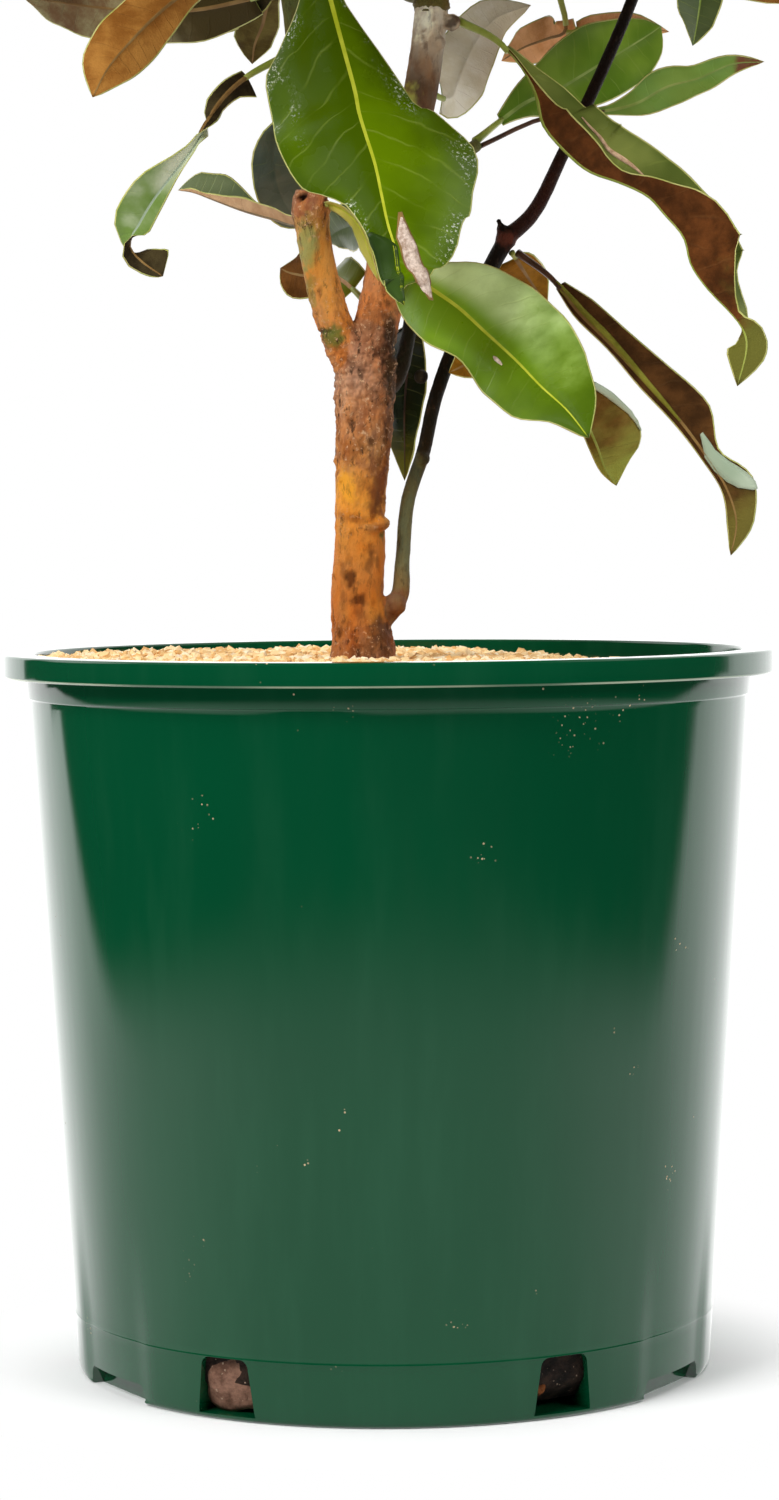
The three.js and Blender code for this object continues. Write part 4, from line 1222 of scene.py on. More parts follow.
def leaf_veins():
    """A node group of a blade's masks from its map: its side veins, a fine net between them, and how far
    a point lies across the blade and, a little wavily, along it, and on which side of the midrib."""
    group = bpy.data.node_groups.new("leaf_veins", "ShaderNodeTree")
    for title in ("Veins", "Net", "Across", "Along", "Side"):
        group.interface.new_socket(title, in_out="OUTPUT", socket_type="NodeSocketFloat")
    target = group.nodes.new("NodeGroupOutput")
    flat = node(group, "ShaderNodeUVMap", uv_map="leaf_map").outputs[0]
    part = node(group, "ShaderNodeSeparateXYZ", {0: flat}).outputs
    where = node(group, "ShaderNodeAttribute", attribute_name="leaf_place").outputs["Vector"]
    place = node(group, "ShaderNodeSeparateXYZ", {0: where}).outputs
    off = calculate(group, "ABSOLUTE", part["Y"])
    lean = product(group, off, 0.62)
    wander = product(group, speckle(group, flat, 9, 2), 0.055)
    run = calculate(group, "ADD", calculate(group, "SUBTRACT", part["X"], lean), wander)
    run = calculate(group, "ADD", run, product(group, place["Z"], 0.047))
    turn = calculate(group, "FRACT", product(group, run, 10.5))
    gap = calculate(group, "ABSOLUTE", calculate(group, "SUBTRACT", turn, 0.5))
    faint = remap(group, speckle(group, flat, 7, 2), 0.4, 0.62, 0.12, 1.0)
    veins = product(group, remap(group, gap, 0.01, 0.07, 1.0, 0.0), faint)
    cells = node(group, "ShaderNodeTexVoronoi", {"Vector": flat, "Scale": 42.0, "Randomness": 1.0},
                 feature="DISTANCE_TO_EDGE", voronoi_dimensions="2D")
    net = remap(group, cells.outputs["Distance"], 0.0, 0.09, 1.0, 0.0)
    wavy = product(group, calculate(group, "SUBTRACT", speckle(group, flat, 6, 4), 0.5), 0.5)
    along = calculate(group, "ADD", place["X"], wavy)
    for number, value in enumerate((veins, net, place["Y"], along, place["Z"])):
        group.links.new(value, target.inputs[number])
    return group


VEINS = leaf_veins()


def toward_tip(tree, veins, colour, tip):
    """Blends a colour into another along the blade. tip is the shares where it starts and ends, and the
    other colour's code."""
    start, end, code = tip
    return blend_colours(tree, remap(tree, veins["Along"], start, end), colour, code)


def leaf_face(name, deep, bright, gloss=0.27, vein=0.2, worn=0.0, half=None, painted_sheen=None, tip=None):
    """The glossy upper face: green with cloudy lighter patches, faint pale veins and a waxy gloss. worn is
    how thickly white specks lie near its margin, half a colour on its plus half that is painted shade or
    painted light, the sheen argument a pale painted sheen on the other half, and tip another colour towards
    one end."""
    made, tree, shader, place = new_material(name, Specular_IOR_Level=0.32, Coat_Weight=0.07,
                                             Coat_Roughness=0.15)
    veins = node(tree, "ShaderNodeGroup", node_tree=VEINS).outputs
    colour = clouded(tree, place, (deep, bright), 38, full=0.7)
    # The half colour is painted shade or painted light on one half of the blade.
    if half:
        inner = remap(tree, veins["Across"], 0.45, 0.9, 0.85, 0.35)
        colour = blend_colours(tree, product(tree, veins["Side"], inner), colour, half)
    # A pale painted sheen on the other half, strongest towards the leaf's foot.
    if painted_sheen:
        streak = remap(tree, speckle(tree, place, 120, 4, 0.6), 0.25, 0.75, 0.8, 1.0)
        gone, full, code = painted_sheen
        painted_sheen_share = product(tree, remap(tree, veins["Along"], full, gone, 1.0, 0.0), streak,
                       remap(tree, veins["Side"], 0.0, 1.0, 1.0, 0.0),
                       remap(tree, veins["Across"], 0.05, 0.5))
        colour = blend_colours(tree, painted_sheen_share, colour, code)
    pale = product(tree, veins["Veins"], vein)
    colour = blend_colours(tree, pale, colour, "b5c45a")
    edge = product(tree, remap(tree, veins["Across"], 0.75, 1.0), 0.25)
    colour = blend_colours(tree, edge, colour, "29420c")
    if tip:
        colour = toward_tip(tree, veins, colour, tip)
    paint(tree, shader, colour)
    dull = remap(tree, speckle(tree, place, 60, 4), 0.3, 0.75, gloss - 0.06, gloss + 0.1)
    if worn:
        rim = product(tree, remap(tree, veins["Across"], 0.55, 0.9), worn)
        clusters = remap(tree, speckle(tree, place, 55, 3), 0.45, 0.6)
        spots = product(tree, remap(tree, speckle(tree, place, 900, 4, 0.8), 0.56, 0.61), rim, clusters)
        paint(tree, shader, blend_colours(tree, spots, colour, "dfe3d2"))
        dull = calculate(tree, "MAXIMUM", dull, product(tree, spots, 0.8))
    tree.links.new(dull, shader.inputs["Roughness"])
    height = calculate(tree, "ADD", product(tree, veins["Net"], -0.08),
                       product(tree, veins["Veins"], -0.5))
    height = calculate(tree, "ADD", height, product(tree, speckle(tree, place, 90, 2), 1.5))
    bump(tree, shader, height, 0.0005, 0.3)
    return made


def leaf_felt(name, deep, bright, vein, vein_share, tip=None):
    """The underside: short brown felt, mottled, with the side veins standing out a little paler."""
    made, tree, shader, place = new_material(name, Roughness=0.8, Specular_IOR_Level=0.15,
                                             Sheen_Weight=0.08, Sheen_Roughness=0.4)
    shader.inputs["Sheen Tint"].default_value = srgb("c9925c")
    veins = node(tree, "ShaderNodeGroup", node_tree=VEINS).outputs
    colour = clouded(tree, place, (deep, bright), 90, 5, 0.65, 0.68)
    pale = product(tree, veins["Veins"], vein_share)
    colour = blend_colours(tree, pale, colour, vein)
    if tip:
        colour = toward_tip(tree, veins, colour, tip)
    paint(tree, shader, colour)
    height = calculate(tree, "ADD", veins["Veins"], speckle(tree, place, 1400, 3))
    bump(tree, shader, height, 0.0004, 0.6)
    return made


def leaf_line(name, *codes, rough=0.4):
    """The thin parts of a leaf, which are its midrib, its margin and its stalk."""
    made, tree, shader, place = new_material(name, Roughness=rough)
    paint(tree, shader, clouded(tree, place, codes, 140))
    return made


FACES = {
    # The fresh face's darker plus half is painted shade.
    "fresh": leaf_face("leaf_fresh", "445c00", "5a7600", 0.24, 0.14, 0.9, "384e00"),
    "green": leaf_face("leaf_green", "3f6200", "547c06", 0.26, 0.16),
    # The bright face's darker plus half and darker tip are painted shade, and its pale green wash near the
    # foot is a painted sheen.
    "bright": leaf_face("leaf_bright", "6c920a", "88ac0c", 0.3, 0.1, 0, "5c7a10", (0.95, 0.2, "e8ffb2"),
                        (0.45, 0.95, "48620e")),
    "soft": leaf_face("leaf_soft", "587a18", "7c9a30", 0.34, 0.1),
    "edge": leaf_face("leaf_edge", "566428", "828c44", 0.32, 0.1, tip=(0.75, 0.9, "9a9440")),
    "grey": leaf_face("leaf_grey", "4c5c34", "64704c", 0.34, 0.15),
    "slate": leaf_face("leaf_slate", "364438", "586456", 0.26, 0.1, tip=(0.4, 0.8, "6c7262")),
    "olive": leaf_face("leaf_olive", "5a6614", "7a8024", 0.34, 0.15),
    "dark": leaf_face("leaf_dark", "141c0c", "222e14", 0.26, 0.1, tip=(0.62, 0.98, "6a6820")),
    "lobe": leaf_face("leaf_lobe", "20340e", "3c5420", 0.3, 0.1),
    "pale": leaf_face("leaf_pale", "5e862a", "7ea248", 0.3, 0.05, tip=(0.86, 0.95, "7a4a30")),
    # The turned face's pale greens and its paler plus half are painted highlight, standing in for its gloss.
    "turned": leaf_face("leaf_turned", "98a67c", "c8ceb4", 0.3, 0.1, 0, "d6dac0", tip=(0.48, 0.66, "6c8640")),
    "yellow": leaf_face("leaf_yellow", "9c9a34", "c8c05c", 0.34, 0.05),
    "wax": leaf_face("leaf_wax", "97a88e", "bcc8b0", 0.4, 0.05),
}
FELTS = {
    "rust": leaf_felt("felt_rust", "885622", "ac7838", "90622c", 0.25),
    "tan": leaf_felt("felt_tan", "d0945e", "eab484", "ecc49c", 0.2),
    "brown": leaf_felt("felt_brown", "44260f", "6c3e1c", "7a5530", 0.15, (0.76, 0.92, "68662a")),
    "lime": leaf_felt("felt_lime", "6c6a22", "8e8c36", "8c8c38", 0.1),
    "plain": leaf_felt("felt_plain", "50300f", "744a20", "7a5530", 0.15),
    "dark": leaf_felt("felt_dark", "3a2410", "5a3a1c", "6c5030", 0.15, (0.72, 0.95, "6e642c")),
    "turning": leaf_felt("felt_turning", "5c3e14", "7e5c2a", "8a6c34", 0.15, (0.5, 0.95, "959a44")),
    "olive": leaf_felt("felt_olive", "4a3a1a", "6c6030", "8a8040", 0.2),
    "amber": leaf_felt("felt_amber", "6c480c", "98681a", "9c7030", 0.15),
    "mottled": leaf_felt("felt_mottled", "72563a", "96906a", "9a9470", 0.15, (0.58, 0.36, "40361a")),
    "pink": leaf_felt("felt_pink", "a8825f", "c6a27c", "b49a80", 0.15),
    # The pale felt's near-white is painted light.
    "pale": leaf_felt("felt_pale", "f0e8cc", "fffae8", "f4eed8", 0.1),
    "grey": leaf_felt("felt_grey", "2a2214", "483e26", "544c30", 0.2),
}
RIB = leaf_line("leaf_rib", "a8b024", "bcc03a")
RIB_PALE = leaf_line("leaf_rib_pale", "7c9440", "98ac5c")
MARGIN_PALE = leaf_line("leaf_margin", "b4b860", "c9c67c")
BACK_RIB = leaf_line("leaf_back_rib", "7c5c30", "8e7040", rough=0.7)
STALK = leaf_line("leaf_stalk", "8c9a3c", "a0a850")
STALK_DARK = leaf_line("leaf_stalk_dark", "3c2820", "5c4030")


def facings(line, words):
    """Which way the upper face looks at each point of a midrib, as seen from the front."""
    found = []
    for i, (point, word) in enumerate(zip(line, words)):
        word, tilt = word if isinstance(word, tuple) else (word, 0)
        ahead = (line[min(i + 1, len(line) - 1)] - line[max(i - 1, 0)]).normalized()
        view = (point - EYE).normalized()
        toward = (ahead * view.dot(ahead) - view).normalized()
        right = ahead.cross(toward)
        up = {"front": toward, "back": -toward, "right": right, "left": -right}[word]
        found.append(Matrix.Rotation(math.radians(tilt), 3, ahead) @ up)
    return found


def shaped_blade(points, facing, **shape):
    """A blade of (x, y, z, half, half) in mm. The halves are the right and left hand ones as the leaf
    runs, or where it stands on edge, facing left or right, the near and far ones."""
    words = facing if isinstance(facing, list) else [facing] * len(points)
    line = [Vector(point[:3]) for point in points]
    halves = [[], []]
    for (_, _, _, first, second), word in zip(points, words):
        word = word[0] if isinstance(word, tuple) else word
        if word in ("back", "right"):
            first, second = second, first
        halves[0].append(first)
        halves[1].append(second)
    return Blade(line, facings(line, words), *halves, **shape)


def hand_leaf(name, points, facing, top, felt, marks=(), rib=RIB, back_rib=BACK_RIB, stem=STALK,
              stem_radii=(1.6, 1.0), **shape):
    """A leaf of its own shape. marks are patches on it: material, lift, and rows of share, from, to."""
    gather = Joined()
    blade = shaped_blade(points, facing, **shape)
    blade.build(gather, stem_radii)
    materials = [FACES[top], rib, MARGIN_PALE, FELTS[felt], back_rib, stem]
    for material, lift, rows in marks:
        materials.append(material)
        add_mark(gather, blade, lift, rows, len(materials) - 1)
    nodes = [name] if name.startswith("leaf_") else []
    finish_piece(leaf_object(f"{name}_blade", gather, materials), "leaf", *nodes)


def add_mark(gather, blade, lift, rows, slot):
    """Adds a thin uneven patch that lies on a blade's face or, with a lift below zero, on its underside."""
    strip = []
    under = math.copysign(0.1, -lift)
    for (share, start, stop), following in zip(rows, rows[1:] + rows[-1:]):
        steps = max(math.ceil((following[0] - share) / MARK_STEP), 1)
        for step in range(steps):
            at, first, last = [a + (b - a) * step / steps for a, b in zip((share, start, stop), following)]
            least = max(abs(first), abs(last))
            for i in range(4):
                uneven = 0.7 + 0.6 * abs(noise.noise(Vector((at * 40, i, 0))))
                rise = lift * (1.0 if i in (1, 2) else 0.6) * uneven
                rise += math.copysign(LEAF_THICKNESS / 2, lift)
                strip.append(blade.place(at, first + (last - first) * i / 3, rise, least) * MM)
            strip += [blade.place(at, last, under, least) * MM, blade.place(at, first, under, least) * MM]
    count = len(strip) // 6
    faces = [[r * 6 + c, r * 6 + (c + 1) % 6, r * 6 + (c + 1) % 6 + 6, r * 6 + c + 6]
             for r in range(count - 1) for c in range(6)]
    faces += [list(range(6))[::-1], [(count - 1) * 6 + c for c in range(6)]]
    if (rows[0][2] > rows[0][1]) != (lift > 0):
        faces = [face[::-1] for face in faces]
    gather.add(strip, faces, slot)
    gather.extra += [((0.5, 0.5, 1.0), 0.0)] * len(strip)


def dead_tissue(name, *codes):
    """Dry, cracked leaf that has died back."""
    made, tree, shader, place = new_material(name, Roughness=0.9, Specular_IOR_Level=0.2)
    paint(tree, shader, clouded(tree, place, codes, 520, 5, 0.7))
    bump(tree, shader, speckle(tree, place, 700, 5, 0.7), 0.0008)
    return made


DEAD = dead_tissue("leaf_dead", "b09480", "f0dccc")
SCAR = dead_tissue("leaf_scar", "c49c7c", "ecc8a4")

hand_leaf("leaf_front", [
    (-34, -2, 490, 0.8, 0.8), (-27, -20, 478, 2, 2), (-20, -38, 465, 6.5, 3.5), (-17, -43, 454, 13, 4.5),
    (-15, -46, 446, 20.5, 7.5), (-13, -50, 438, 28.5, 11), (-9, -57, 422, 29.5, 17.5),
    (-8, -60, 416, 29.5, 22), (-6, -62, 409, 28.5, 28.5), (-3, -66, 399, 25, 35.5),
    (-1, -70, 389, 12.5, 31.5), (1, -74, 379, 8, 28), (3, -76, 372, 7.5, 22.5), (4, -78, 364, 6.5, 15),
    (5, -80, 362, 6, 10), (5, -80, 359, 5.5, 1), (6, -82, 353, 0.4, 0.4)
], ("front", -4), "fresh", "rust", fold=-4, curl=-28, wave=0.8, phase=0.2, stalk=0.12, marks=[
    (DEAD, 0.4, [(0.677, -4.4, -5.1), (0.70, -3.0, -5.6), (0.728, -1.6, -5.9), (0.755, -2.2, -7.0),
        (0.78, -2.4, -7.4), (0.81, -3.5, -8.6), (0.85, -3.7, -8.8), (0.91, -5.4, -9.5),
        (0.953, -6.7, -9.9), (0.978, -8.9, -9.6)]),
    (BACK_RIB, 0.06, [(0.665, -4.0, -5.4), (0.70, -2.5, -6.1), (0.728, -1.1, -6.4), (0.78, -1.9, -7.9),
        (0.81, -3.0, -9.1), (0.85, -3.2, -9.3), (0.91, -4.9, -10.0), (0.985, -8.6, -10.1)]),
    (FACES["lobe"], 0.12, [(0.69, 5.6, 7.2), (0.72, 1.6, 7.3), (0.75, -0.9, 6.9), (0.81, -0.9, 6.0),
        (0.875, -0.9, 5.4), (0.9375, -0.8, 4.8), (0.985, -0.5, 1.6)]),
])
hand_leaf("leaf_right_middle", [
    (2, 2, 372, 0.8, 0.8), (8, -12, 368, 9, 5), (15, -22, 362, 14, 12), (24, -31, 355, 16, 19),
    (33, -40, 346, 12.5, 22), (42, -49, 337, 15, 21.5), (50, -57, 328, 14, 18.5),
    (58, -65, 320, 6.5, 11.5), (64.5, -72, 311, 0.6, 0.6)
], ("front", -10), "bright", "rust", fold=(5, 8), curl=-20, wave=1.0, phase=0.6, marks=[
    (DEAD, 0.1, [(0.57, 3.9, 4.4), (0.58, 3.5, 4.9), (0.60, 3.7, 4.7), (0.61, 4.1, 4.5)]),
])
hand_leaf("leaf_right_long", [
    (25, 12, 454, 0.8, 0.8), (38, 2, 446, 1, 1), (47, -4, 435, 0.8, 4.2), (51, -8, 425, 4, 12.4),
    (53, -11, 416, 10, 19.5), (61, -15, 406, 10.6, 19.5), (68, -18, 400, 9.8, 20), (78, -21, 396, 5, 17),
    (87, -25, 391, 8, 14.4), (92, -28, 385, 12.8, 15), (98, -32, 377, 16.6, 16.4),
    (100, -36, 368, 20, 19), (105, -40, 360, 14.4, 13), (114, -43, 350, 2.6, 5.8),
    (117, -45, 344, 3.3, 7.2), (117, -46, 339, 6.5, 6.8), (114, -47, 328, 0.4, 0.4)
], ["left"] * 14 + ["back"] * 3, "edge", "brown", fold=[70] * 12 + [60, 50, 20, 6, 4], curl=(6, 4),
    wave=0.4, stalk=0.08, phase=0.1, ripples=1.6, back_rib=STALK, marks=[
    (SCAR, 0.4, [(0.27, -12.7, -13.1), (0.30, -12.0, -12.8), (0.33, -11.5, -12.6), (0.36, -10.4, -11.7),
        (0.39, -9.1, -10.6), (0.42, -7.4, -9.2), (0.45, -6.2, -7.2), (0.47, -5.2, -5.6)]),
])
hand_leaf("leaf_right_low", [
    (45, 15, 376, 0.8, 0.8), (56, 8, 367, 1, 1.5), (65, 0, 355, 2.4, 6.6), (75, -8, 344, 2.2, 7.4),
    (86, -16, 331, 2.8, 9.6), (97, -22, 318, 2.4, 11.4), (106, -27, 305, 2, 5), (112, -29, 295, 2, 9.8),
    (115, -31, 284, 3.4, 6), (113, -32, 273, 0.4, 0.4)
], "back", "grey", "dark", fold=6, curl=14, wave=0.7, phase=0.4, stem=STALK_DARK, stem_radii=(1.4, 0.9),
    marks=[
    (FELTS["lime"], -0.9, [(0.13, -0.8, 0.8), (0.2, -0.2, 2.0), (0.3, -0.2, 2.2), (0.4, -0.4, 1.6),
        (0.5, -0.6, 0.8), (0.56, -0.4, 0.2)]),
    (FACES["wax"], -0.7, [(0.61, 2.4, 3.6), (0.66, -0.6, 3.6), (0.71, -0.6, 5.4), (0.76, 1.0, 8.4),
        (0.79, 3.6, 9.8), (0.81, 8.0, 9.6)]),
])
hand_leaf("leaf_right_back", [
    (31, 12, 352, 0.8, 0.8), (45, 22, 343, 2, 2), (60, 32, 331, 2.8, 4), (68, 38, 321, 3, 13),
    (73, 42, 311, 3.2, 17.4), (76, 45, 303, 2.2, 13.6), (80, 46, 297, 0.4, 0.4)
], "back", "grey", "turning", fold=8, curl=16, wave=0.7, phase=0.8, back_rib=STALK, marks=[
    (FACES["wax"], -0.5, [(0.42, 8.0, 10.6), (0.5, 11.0, 13.8), (0.6, 14.8, 16.6), (0.7, 16.6, 17.2)]),
])
hand_leaf("leaf_right_amber", [
    (43, 14, 376, 0.8, 0.8), (46, 20, 372, 10, 6), (50, 30, 367, 10, 7), (56, 38, 359, 0.5, 0.5)
], "back", "grey", "amber", fold=6, curl=12, wave=0.6, stem_radii=(1.2, 0.8))
hand_leaf("leaf_trunk_side", [
    (12, 10, 356, 1, 1), (8, 20, 350, 9, 5), (7, 24, 337, 11, 7), (6, 24, 323, 11, 6.5),
    (6, 20, 310, 8, 3.5), (6, 17, 299, 0.4, 0.4)
], ("front", -30), "dark", "olive", fold=14, curl=20, wave=0.8, rib=STALK_DARK)
hand_leaf("leaf_twig_broad", [
    (31, 18, 414, 0.8, 0.8), (40, 28, 422, 2, 2.5), (49, 36, 429, 5.5, 7.5), (60, 44, 434, 9.5, 13.5),
    (74, 54, 443, 13, 15), (85, 62, 450, 13.5, 11.5), (94, 68, 456, 9, 6), (98, 71, 459, 0.5, 0.5)
], ("front", 12), "soft", "rust", fold=8, curl=-16, wave=0.8, phase=0.3, rib=RIB_PALE)
hand_leaf("leaf_twig_narrow", [
    (32, 18, 412, 0.7, 0.7), (54, 12, 421, 0.8, 0.8), (75, 8, 423, 1.8, 1.8), (85, 4, 425, 5.2, 5.2),
    (95, 0, 430, 7.4, 7.4), (105, -6, 432, 5.8, 5.8), (116, -12, 436, 3.6, 3.6), (126, -17, 436, 0.4, 0.4)
], ("front", 25), "pale", "olive", fold=8, curl=-10, wave=0.5, phase=0.5, stalk=0.26, rib=RIB_PALE,
    stem=STALK_DARK, stem_radii=(0.9, 0.7))
# Its underside, in the pale felt, is painted light.
hand_leaf("leaf_leader_back", [
    (14, 13, 431, 0.8, 0.8), (22, 24, 429, 7, 8.5), (26, 34, 437, 10, 12.5), (31, 46, 449, 9.5, 11),
    (39, 57, 460, 7, 8.5), (52, 66, 466, 0.5, 0.5)
], "back", "grey", "pale", fold=6, curl=12, wave=0.8, back_rib=FELTS["pale"])
hand_leaf("leaf_top_right", [
    (96, 27, 507, 0.8, 0.8), (103, 17, 492, 9, 7), (107, 6, 475, 14, 9), (106, -4, 460, 13, 8),
    (104, -12, 449, 8, 5.5), (102, -20, 441, 0.4, 0.4)
], ("front", -20), "grey", "rust", fold=14, curl=10, wave=1.0, rib=RIB_PALE)
hand_leaf("leaf_back_rust", [
    (57, 60, 500, 0.8, 0.8), (61, 61, 472, 0.8, 0.8), (64, 65, 457, 5, 4), (58, 72, 455, 8, 9),
    (50, 80, 453, 7, 7.5), (42, 87, 449, 0.5, 0.5)
], "back", "green", "tan", fold=10, curl=16, wave=1.0, stalk=0.34)
hand_leaf("small_leaf_rust", [
    (64, 66, 457, 0.8, 0.8), (74, 68, 458, 5.5, 5), (87, 70, 459, 5, 5), (101, 72, 457, 0.4, 0.4)
], "back", "green", "tan", fold=8, curl=12, wave=0.6)
hand_leaf("leaf_left_far", [
    (-30, -1, 464, 0.8, 0.8), (-46, 8, 461, 8, 8), (-64, 18, 459, 15, 12), (-82, 28, 460, 17, 13),
    (-101, 37, 463, 15, 12), (-116, 43, 466, 9, 8.5), (-125, 46, 468, 0.5, 0.5)
], ("back", -15), "green", "mottled", fold=8, curl=14, wave=1.6, phase=0.3)
hand_leaf("leaf_left_rust", [
    (-36, -3, 482, 0.8, 0.8), (-52, -9, 470, 4, 3), (-66, -16, 460, 9, 5.5), (-75, -21, 452, 12, 8.5),
    (-83, -27, 443, 12.5, 9.5), (-90, -32, 434, 10, 8), (-95, -36, 424, 0.5, 0.5)
], ("back", 12), "green", "rust", fold=8, curl=10, wave=0.8, phase=0.9)
hand_leaf("leaf_left_grey", [
    (-33, 0, 466, 0.8, 0.8), (-44, 12, 464, 8, 8), (-55, 24, 462, 10, 10), (-67, 36, 460, 8, 8),
    (-77, 46, 458, 0.5, 0.5)
], ("back", 15), "dark", "grey", fold=8, curl=14, wave=1.4, phase=0.2)
hand_leaf("leaf_left_olive", [
    (-34, 0, 464, 0.8, 0.8), (-39, 12, 460, 6, 4), (-41, 20, 454, 9, 6), (-44, 26, 448, 8, 6),
    (-45, 30, 442, 0.4, 0.4)
], "back", "green", "olive", fold=10, curl=14, wave=0.8)
hand_leaf("leaf_left_twisted", [
    (-29, 0, 443, 1, 1), (-44, -11, 434, 2.4, 8), (-50, -15, 429, 4.2, 4), (-55, -19, 423, 4.4, 3),
    (-59, -24, 416, 3.4, 3), (-62, -28, 409, 2.6, 2.4), (-67, -32, 402, 4.8, 1.8),
    (-75, -38, 391, 9, 3.8), (-80, -43, 382, 9, 4.4), (-83, -46, 375, 4.5, 4), (-79, -47, 370, 3.8, 6.4),
    (-75, -48, 367, 2.6, 8.4), (-72, -48, 365, 0.5, 0.5)
], ["back"] * 4 + ["left", ("front", 20)] + ["front"] * 3 + ["right"] + ["back"] * 3, "turned", "grey",
    fold=[10, 14, 22, 38, 50, 36, 16, 8, 10, 20, 14, 8, 4], curl=8, wave=0.3, stalk=0.1, rib=FACES["wax"])
hand_leaf("leaf_left_dark", [
    (-24, 4, 412, 0.8, 0.8), (-32, 14, 420, 2, 3), (-37, 22, 416, 5.5, 7), (-38, 28, 407, 8, 9),
    (-36, 33, 398, 8.5, 9), (-32, 37, 391, 6, 8), (-28, 39, 387, 0.5, 0.5)
], ("front", -15), "slate", "brown", fold=10, curl=-16, wave=0.8, rib=FACES["slate"])
hand_leaf("leaf_left_pink", [
    (-23, -6, 390, 0.8, 0.8), (-29, 6, 385, 4.6, 2.6), (-38, 16, 388, 4.8, 2.8), (-49, 28, 392, 4.6, 6),
    (-60, 40, 397, 2.4, 10), (-67, 46, 400, 1.2, 8.6), (-72, 50, 401, 0.4, 0.4)
], "right", "grey", "pink", fold=(66, 60), curl=6, wave=0.4, rib=FACES["grey"])
hand_leaf("leaf_fork_back", [
    (0, 5, 376, 0.8, 0.8), (-4, 20, 384, 7, 7), (-10, 36, 387, 9, 9), (-17, 48, 386, 7, 7),
    (-21, 54, 383, 0.4, 0.4)
], "front", "grey", "olive", fold=8, curl=-12, wave=0.8, rib=FACES["grey"])
hand_leaf("leaf_limb_back", [
    (-4, 3, 356, 0.8, 0.8), (-11, 14, 364, 7.5, 7.5), (-17, 24, 369, 8.5, 8.5), (-22, 31, 370, 5.5, 5.5),
    (-26, 36, 370, 7.5, 7.5), (-31, 41, 371, 8, 8.5), (-34, 43.5, 372, 5.5, 6),
    (-36.5, 45.5, 373.5, 0.5, 0.5)
], ["front", "front", ("front", 15), "right", "back", "back", "back", "back"], "olive", "plain", fold=10,
    curl=-8, wave=0.6, rib=FELTS["pink"])
hand_leaf("small_leaf_edge", [
    (-23, -8, 391, 1, 1), (-16, -14, 390, 3, 3), (-9, -20, 384, 4, 4), (-5, -24, 374, 3.6, 3.6),
    (-2, -26, 364, 0.4, 0.4)
], ("front", 60), "yellow", "olive", fold=14, curl=10, wave=0.3)
hand_leaf("small_leaf_amber", [
    (34, 9, 346, 0.8, 0.8), (31, 5, 342, 6, 6), (27, 2, 338, 5.5, 5.5), (21, 0, 335, 0.4, 0.4)
], "back", "green", "amber", fold=8, curl=10, wave=0.3)

# Crown --------------------------------------------------------------------------------------------
# From the end of each bough a shoot grows on through its mass and sends out side twigs. Each bears
# its leaves in a spiral round the young wood, face up, and ends in a downy bud.

UP = Vector((0, 0, 1))
GOLDEN_ANGLE = math.radians(137.5)
LEAF_SPAN = 100.0  # mm, the length of a leaf of size 1
FRAME_TOP = 459.5  # mm: above this height at the pot's middle nothing is seen from the front
FRAME_RISE = 0.132  # how much higher that is for each mm towards the back
FRAME_SIDE = 137.0  # mm either way of the middle
CROWN_LOW = (-196, -168, 300)
CROWN_HIGH = (216, 201, 1043)
LEAF_KINDS = [(2, 21, 16, -26), (9, 23, 8, -18), (16, 19, 20, -34), (24, 20, 12, -20), (12, 24, 28, -30),
              (-6, 18, 10, 10)]  # each kind's droop and half width in mm, and its fold and curl in degrees
BUD_LINE = [(-1, 1.3), (2, 2.0), (6, 2.3), (10, 1.5), (13.5, 0.35)]  # mm along its axis, and radius
TWIG_SHARES = (0.1, 0.3, 0.5, 0.68)  # where side twigs leave a main shoot
TWIG_SIDES = 8
# Radii at foot and end in mm, leaves, and the share of its length without leaves.
MAIN_SHOOT = {"radii": (2.2, 1.5), "leaves": 9, "bare": 0.3}
SIDE_SHOOT = {"radii": (1.8, 1.3), "leaves": 6, "bare": 0.4}
OLD_TONES = 3
YOUNG_TONE = 3
YOUNG_SIZE = 0.8


def leaf_kind(number):
    """A leaf of few faces: its own droop, fold and outline."""
    dice = random.Random(40 + number)
    droop, wide, fold, curl = LEAF_KINDS[number]
    sway = dice.uniform(-7, 7)
    line = [(0, 0, 0), (0.3 * sway, 34, 3), (sway, 68, 2 - droop * 0.3), (0.7 * sway, 100, -droop)]
    gather = Joined()
    blade = Blade(line, [(0, 0, 1), (0.12 * (-1) ** number, 0, 1)], wide, wide * dice.uniform(0.9, 1.05),
                  fold=fold, curl=curl, wave=dice.uniform(1.2, 2.6), stalk=0.17, phase=dice.uniform(0, 1),
                  ripples=dice.uniform(1.5, 2.6))
    blade.build(gather, (1.5, 1.0), cells=2, rows=8, stalk_sides=4)
    obj = leaf_object(f"leaf_kind_{number}", gather, [])
    set_attribute(obj.data, "leaf_part", "INT", gather.slots, "FACE")
    bpy.context.scene.collection.objects.unlink(obj)
    return obj


def fits(base, heading, length):
    """Whether a leaf stays in the crown's box, and out of what is seen from the front below it."""
    for share, sag in ((0.55, 8), (1.0, 26)):
        spot = base + heading * (length * share) - UP * (sag * length / LEAF_SPAN)
        if any(spot[k] < CROWN_LOW[k] or spot[k] > CROWN_HIGH[k] for k in range(3)):
            return False
        side = FRAME_SIDE * (1 - spot.y / EYE.y)
        if abs(spot.x) < side and spot.z < FRAME_TOP + FRAME_RISE * spot.y + 4:
            return False
    return True


